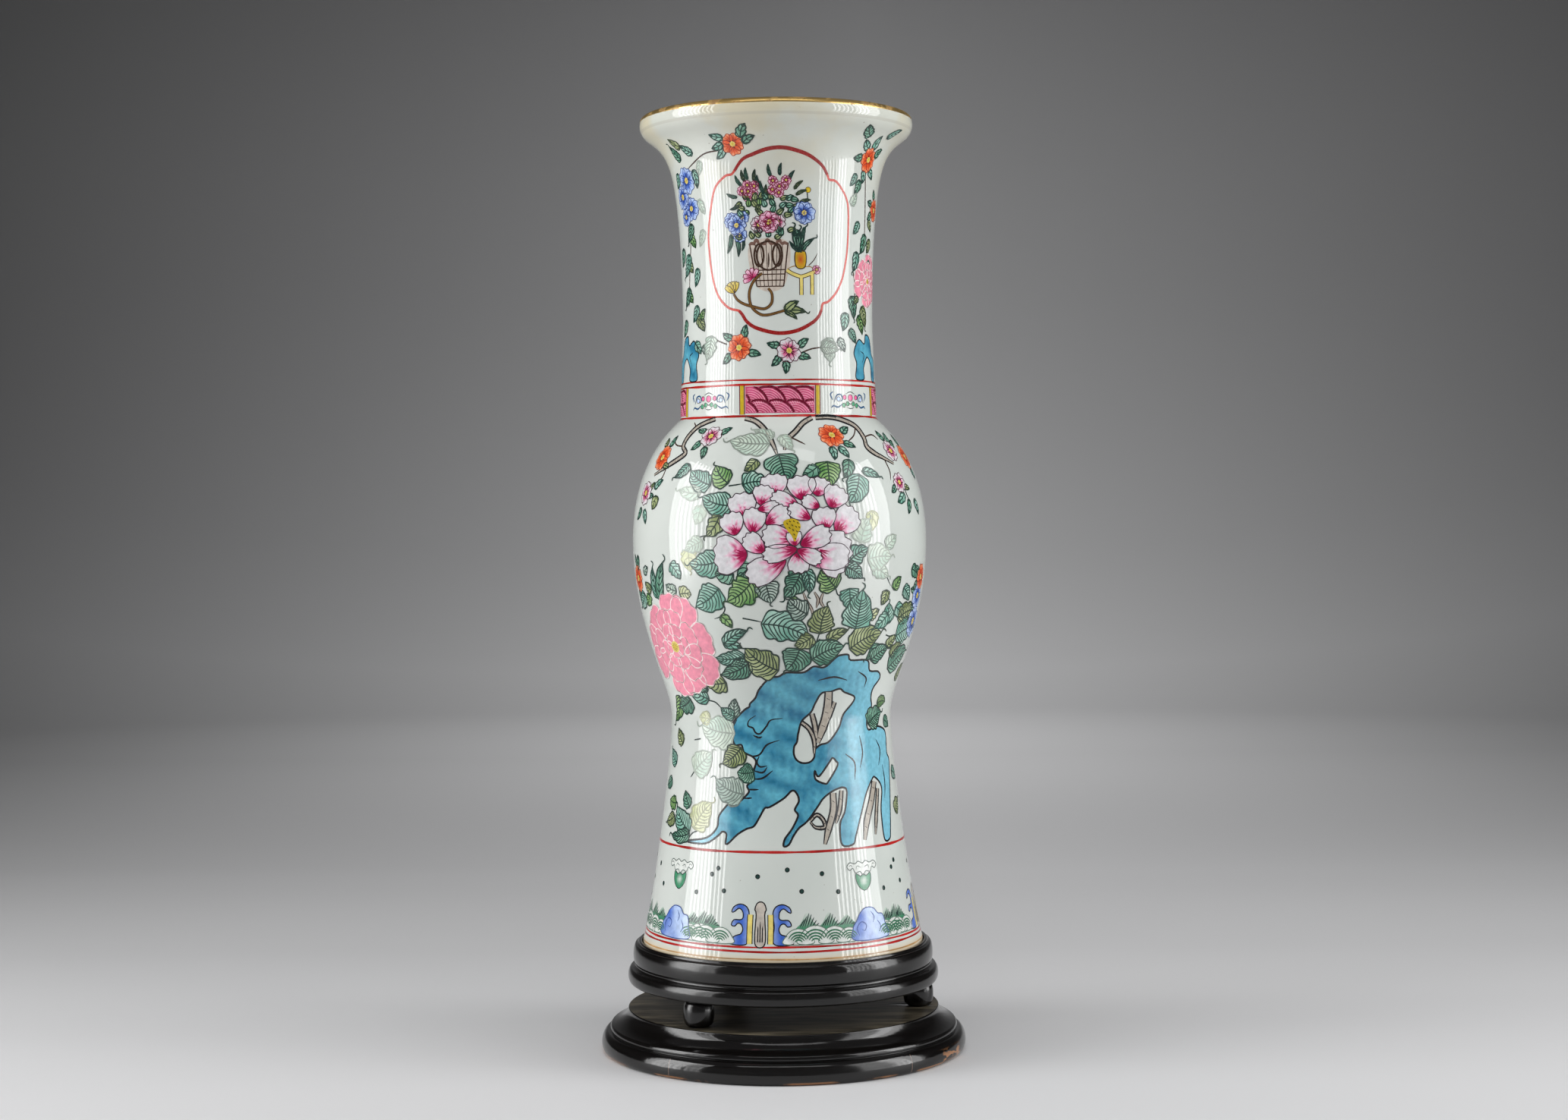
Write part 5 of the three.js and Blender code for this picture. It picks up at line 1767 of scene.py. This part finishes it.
def collar_profile():
    height = collar_high.z - collar_low.z
    bead_edge = COLLAR_RADIUS - 1.8
    waist = (COLLAR_RADIUS - 4.2, 10.5)
    recess = FOOT_RADIUS + SLIP
    points = [(0, 0), (bead_edge - 2, 0)] + bead((bead_edge, 0.1), (bead_edge - 0.3, 8.2), 1.8, 18)
    points += bezier((bead_edge - 0.3, 8.2), (waist[0] + 0.4, 8.4), (waist[0] - 0.5, 9.2), waist, 8)
    points += bead(waist, (waist[0] - 0.4, 21), 1.35, 20)[1:]
    points += [(recess + 1.9, 21.15), (recess + 1.8, 21.5), (recess + 1.75, height - 0.35)]
    points += [(recess + 1.6, height - 0.08), (recess + 1.3, height), (recess + 0.4, height)]
    points += [(recess + 0.1, height - 0.1), (recess, height - 0.5), (recess, height - RECESS + 0.4)]
    return points + [(recess - 0.4, height - RECESS), (0, height - RECESS)]


def plinth_profile():
    top = plinth_high.z - plinth_low.z
    rest = PLINTH_RADIUS - 2.2
    relief = rest - PLINTH_REST
    points = [
        (0, PLINTH_RELIEF), (relief - 0.3, PLINTH_RELIEF), (relief, PLINTH_RELIEF - 0.3), (relief, 0.3),
    ]
    points += [(relief + 0.3, 0), (rest - 1, 0)] + bead((rest, 0.12), (rest - 1.4, 11), 2.9, 26)
    points += [(rest - 2.6, 11.1)] + bead((rest - 3, 11.3), (rest - 3.6, 14.4), 0.85, 10)
    deck = PLINTH_RADIUS - 14.6
    points += bezier((rest - 3.6, 14.4), (deck + 3.4, 16), (deck + 0.4, 19.2), (deck, top - 0.8), 18)
    points += bezier((deck, top - 0.8), (deck, top - 0.3), (deck - 0.3, top), (deck - 0.8, top), 4)
    return points + [(deck - 12, top), (deck - 30, top), (0, top)]


HEAD_CLEARANCE = 0.35  # round a screw's head
HOLE_RADIUS = 2.4  # of the clearance hole round a screw's shank
SUNK = 2.6  # height of the countersink from the bottom of the head


def drill(piece, low, high):
    """Cuts a screw's countersunk hole from below, with clearance round the screw."""
    head = (high.x - low.x) / 2 + HEAD_CLEARANCE
    profile = [(0, -2), (head, -2), (head, low.z + 0.5), (HOLE_RADIUS, low.z + SUNK)]
    profile += [(HOLE_RADIUS, 40), (0, 40)]
    cutter = lathe("cutter", profile, 0, 32, ((low.x + high.x) / 2, (low.y + high.y) / 2))
    cut = piece.modifiers.new("screw_hole", "BOOLEAN")
    cut.operation = "DIFFERENCE"
    cut.solver = "EXACT"
    cut.object = cutter
    bpy.context.view_layer.update()
    depsgraph = bpy.context.evaluated_depsgraph_get()
    drilled = bpy.data.meshes.new_from_object(piece.evaluated_get(depsgraph))
    piece.modifiers.clear()
    piece.data = drilled
    bpy.data.objects.remove(cutter)


def add_stand():
    black = lacquer("black_lacquer")
    collar = lathe("collar", collar_profile(), collar_low.z, STAND_SEGMENTS)
    add_piece(collar, black, "stand", "black_lacquer", "stand_collar")
    plinth = lathe("plinth", plinth_profile(), plinth_low.z, STAND_SEGMENTS)
    for i in (1, 2, 3):
        drill(plinth, *box_mm(f"wood_screw_{i}"))
    worn = lacquer("worn_lacquer", wear_height=2.6, deck_height=plinth_high.z)
    add_piece(plinth, worn, "stand", "black_lacquer", "stand_plinth")
    for i, (low, high) in enumerate(spacers, 1):
        radius, tall = (high.x - low.x) / 2, high.z - low.z
        neck = radius - SPACER_SWELL
        side = bead((neck, 0.6), (neck, tall - 0.6), SPACER_SWELL, 20)
        profile = [(HOLE_RADIUS, 0), (neck - 0.6, 0), *side, (neck - 0.6, tall), (HOLE_RADIUS, tall)]
        centre = ((low.x + high.x) / 2, (low.y + high.y) / 2)
        spacer = lathe(f"spacer_{i}", profile, low.z, 64, centre, drilled=True)
        add_piece(spacer, black, "stand", "black_lacquer", f"bead_spacer_{i}")
    steel = screw_steel()
    for i in (1, 2, 3):
        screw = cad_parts[f"wood_screw_{i}"]
        screw.data.materials.clear()
        screw.data.materials.append(steel)


add_vase()
add_rim()
add_stand()
paint_vase(enamel("enamel_colours", 0.14), enamel("enamel_lines", 0.24))
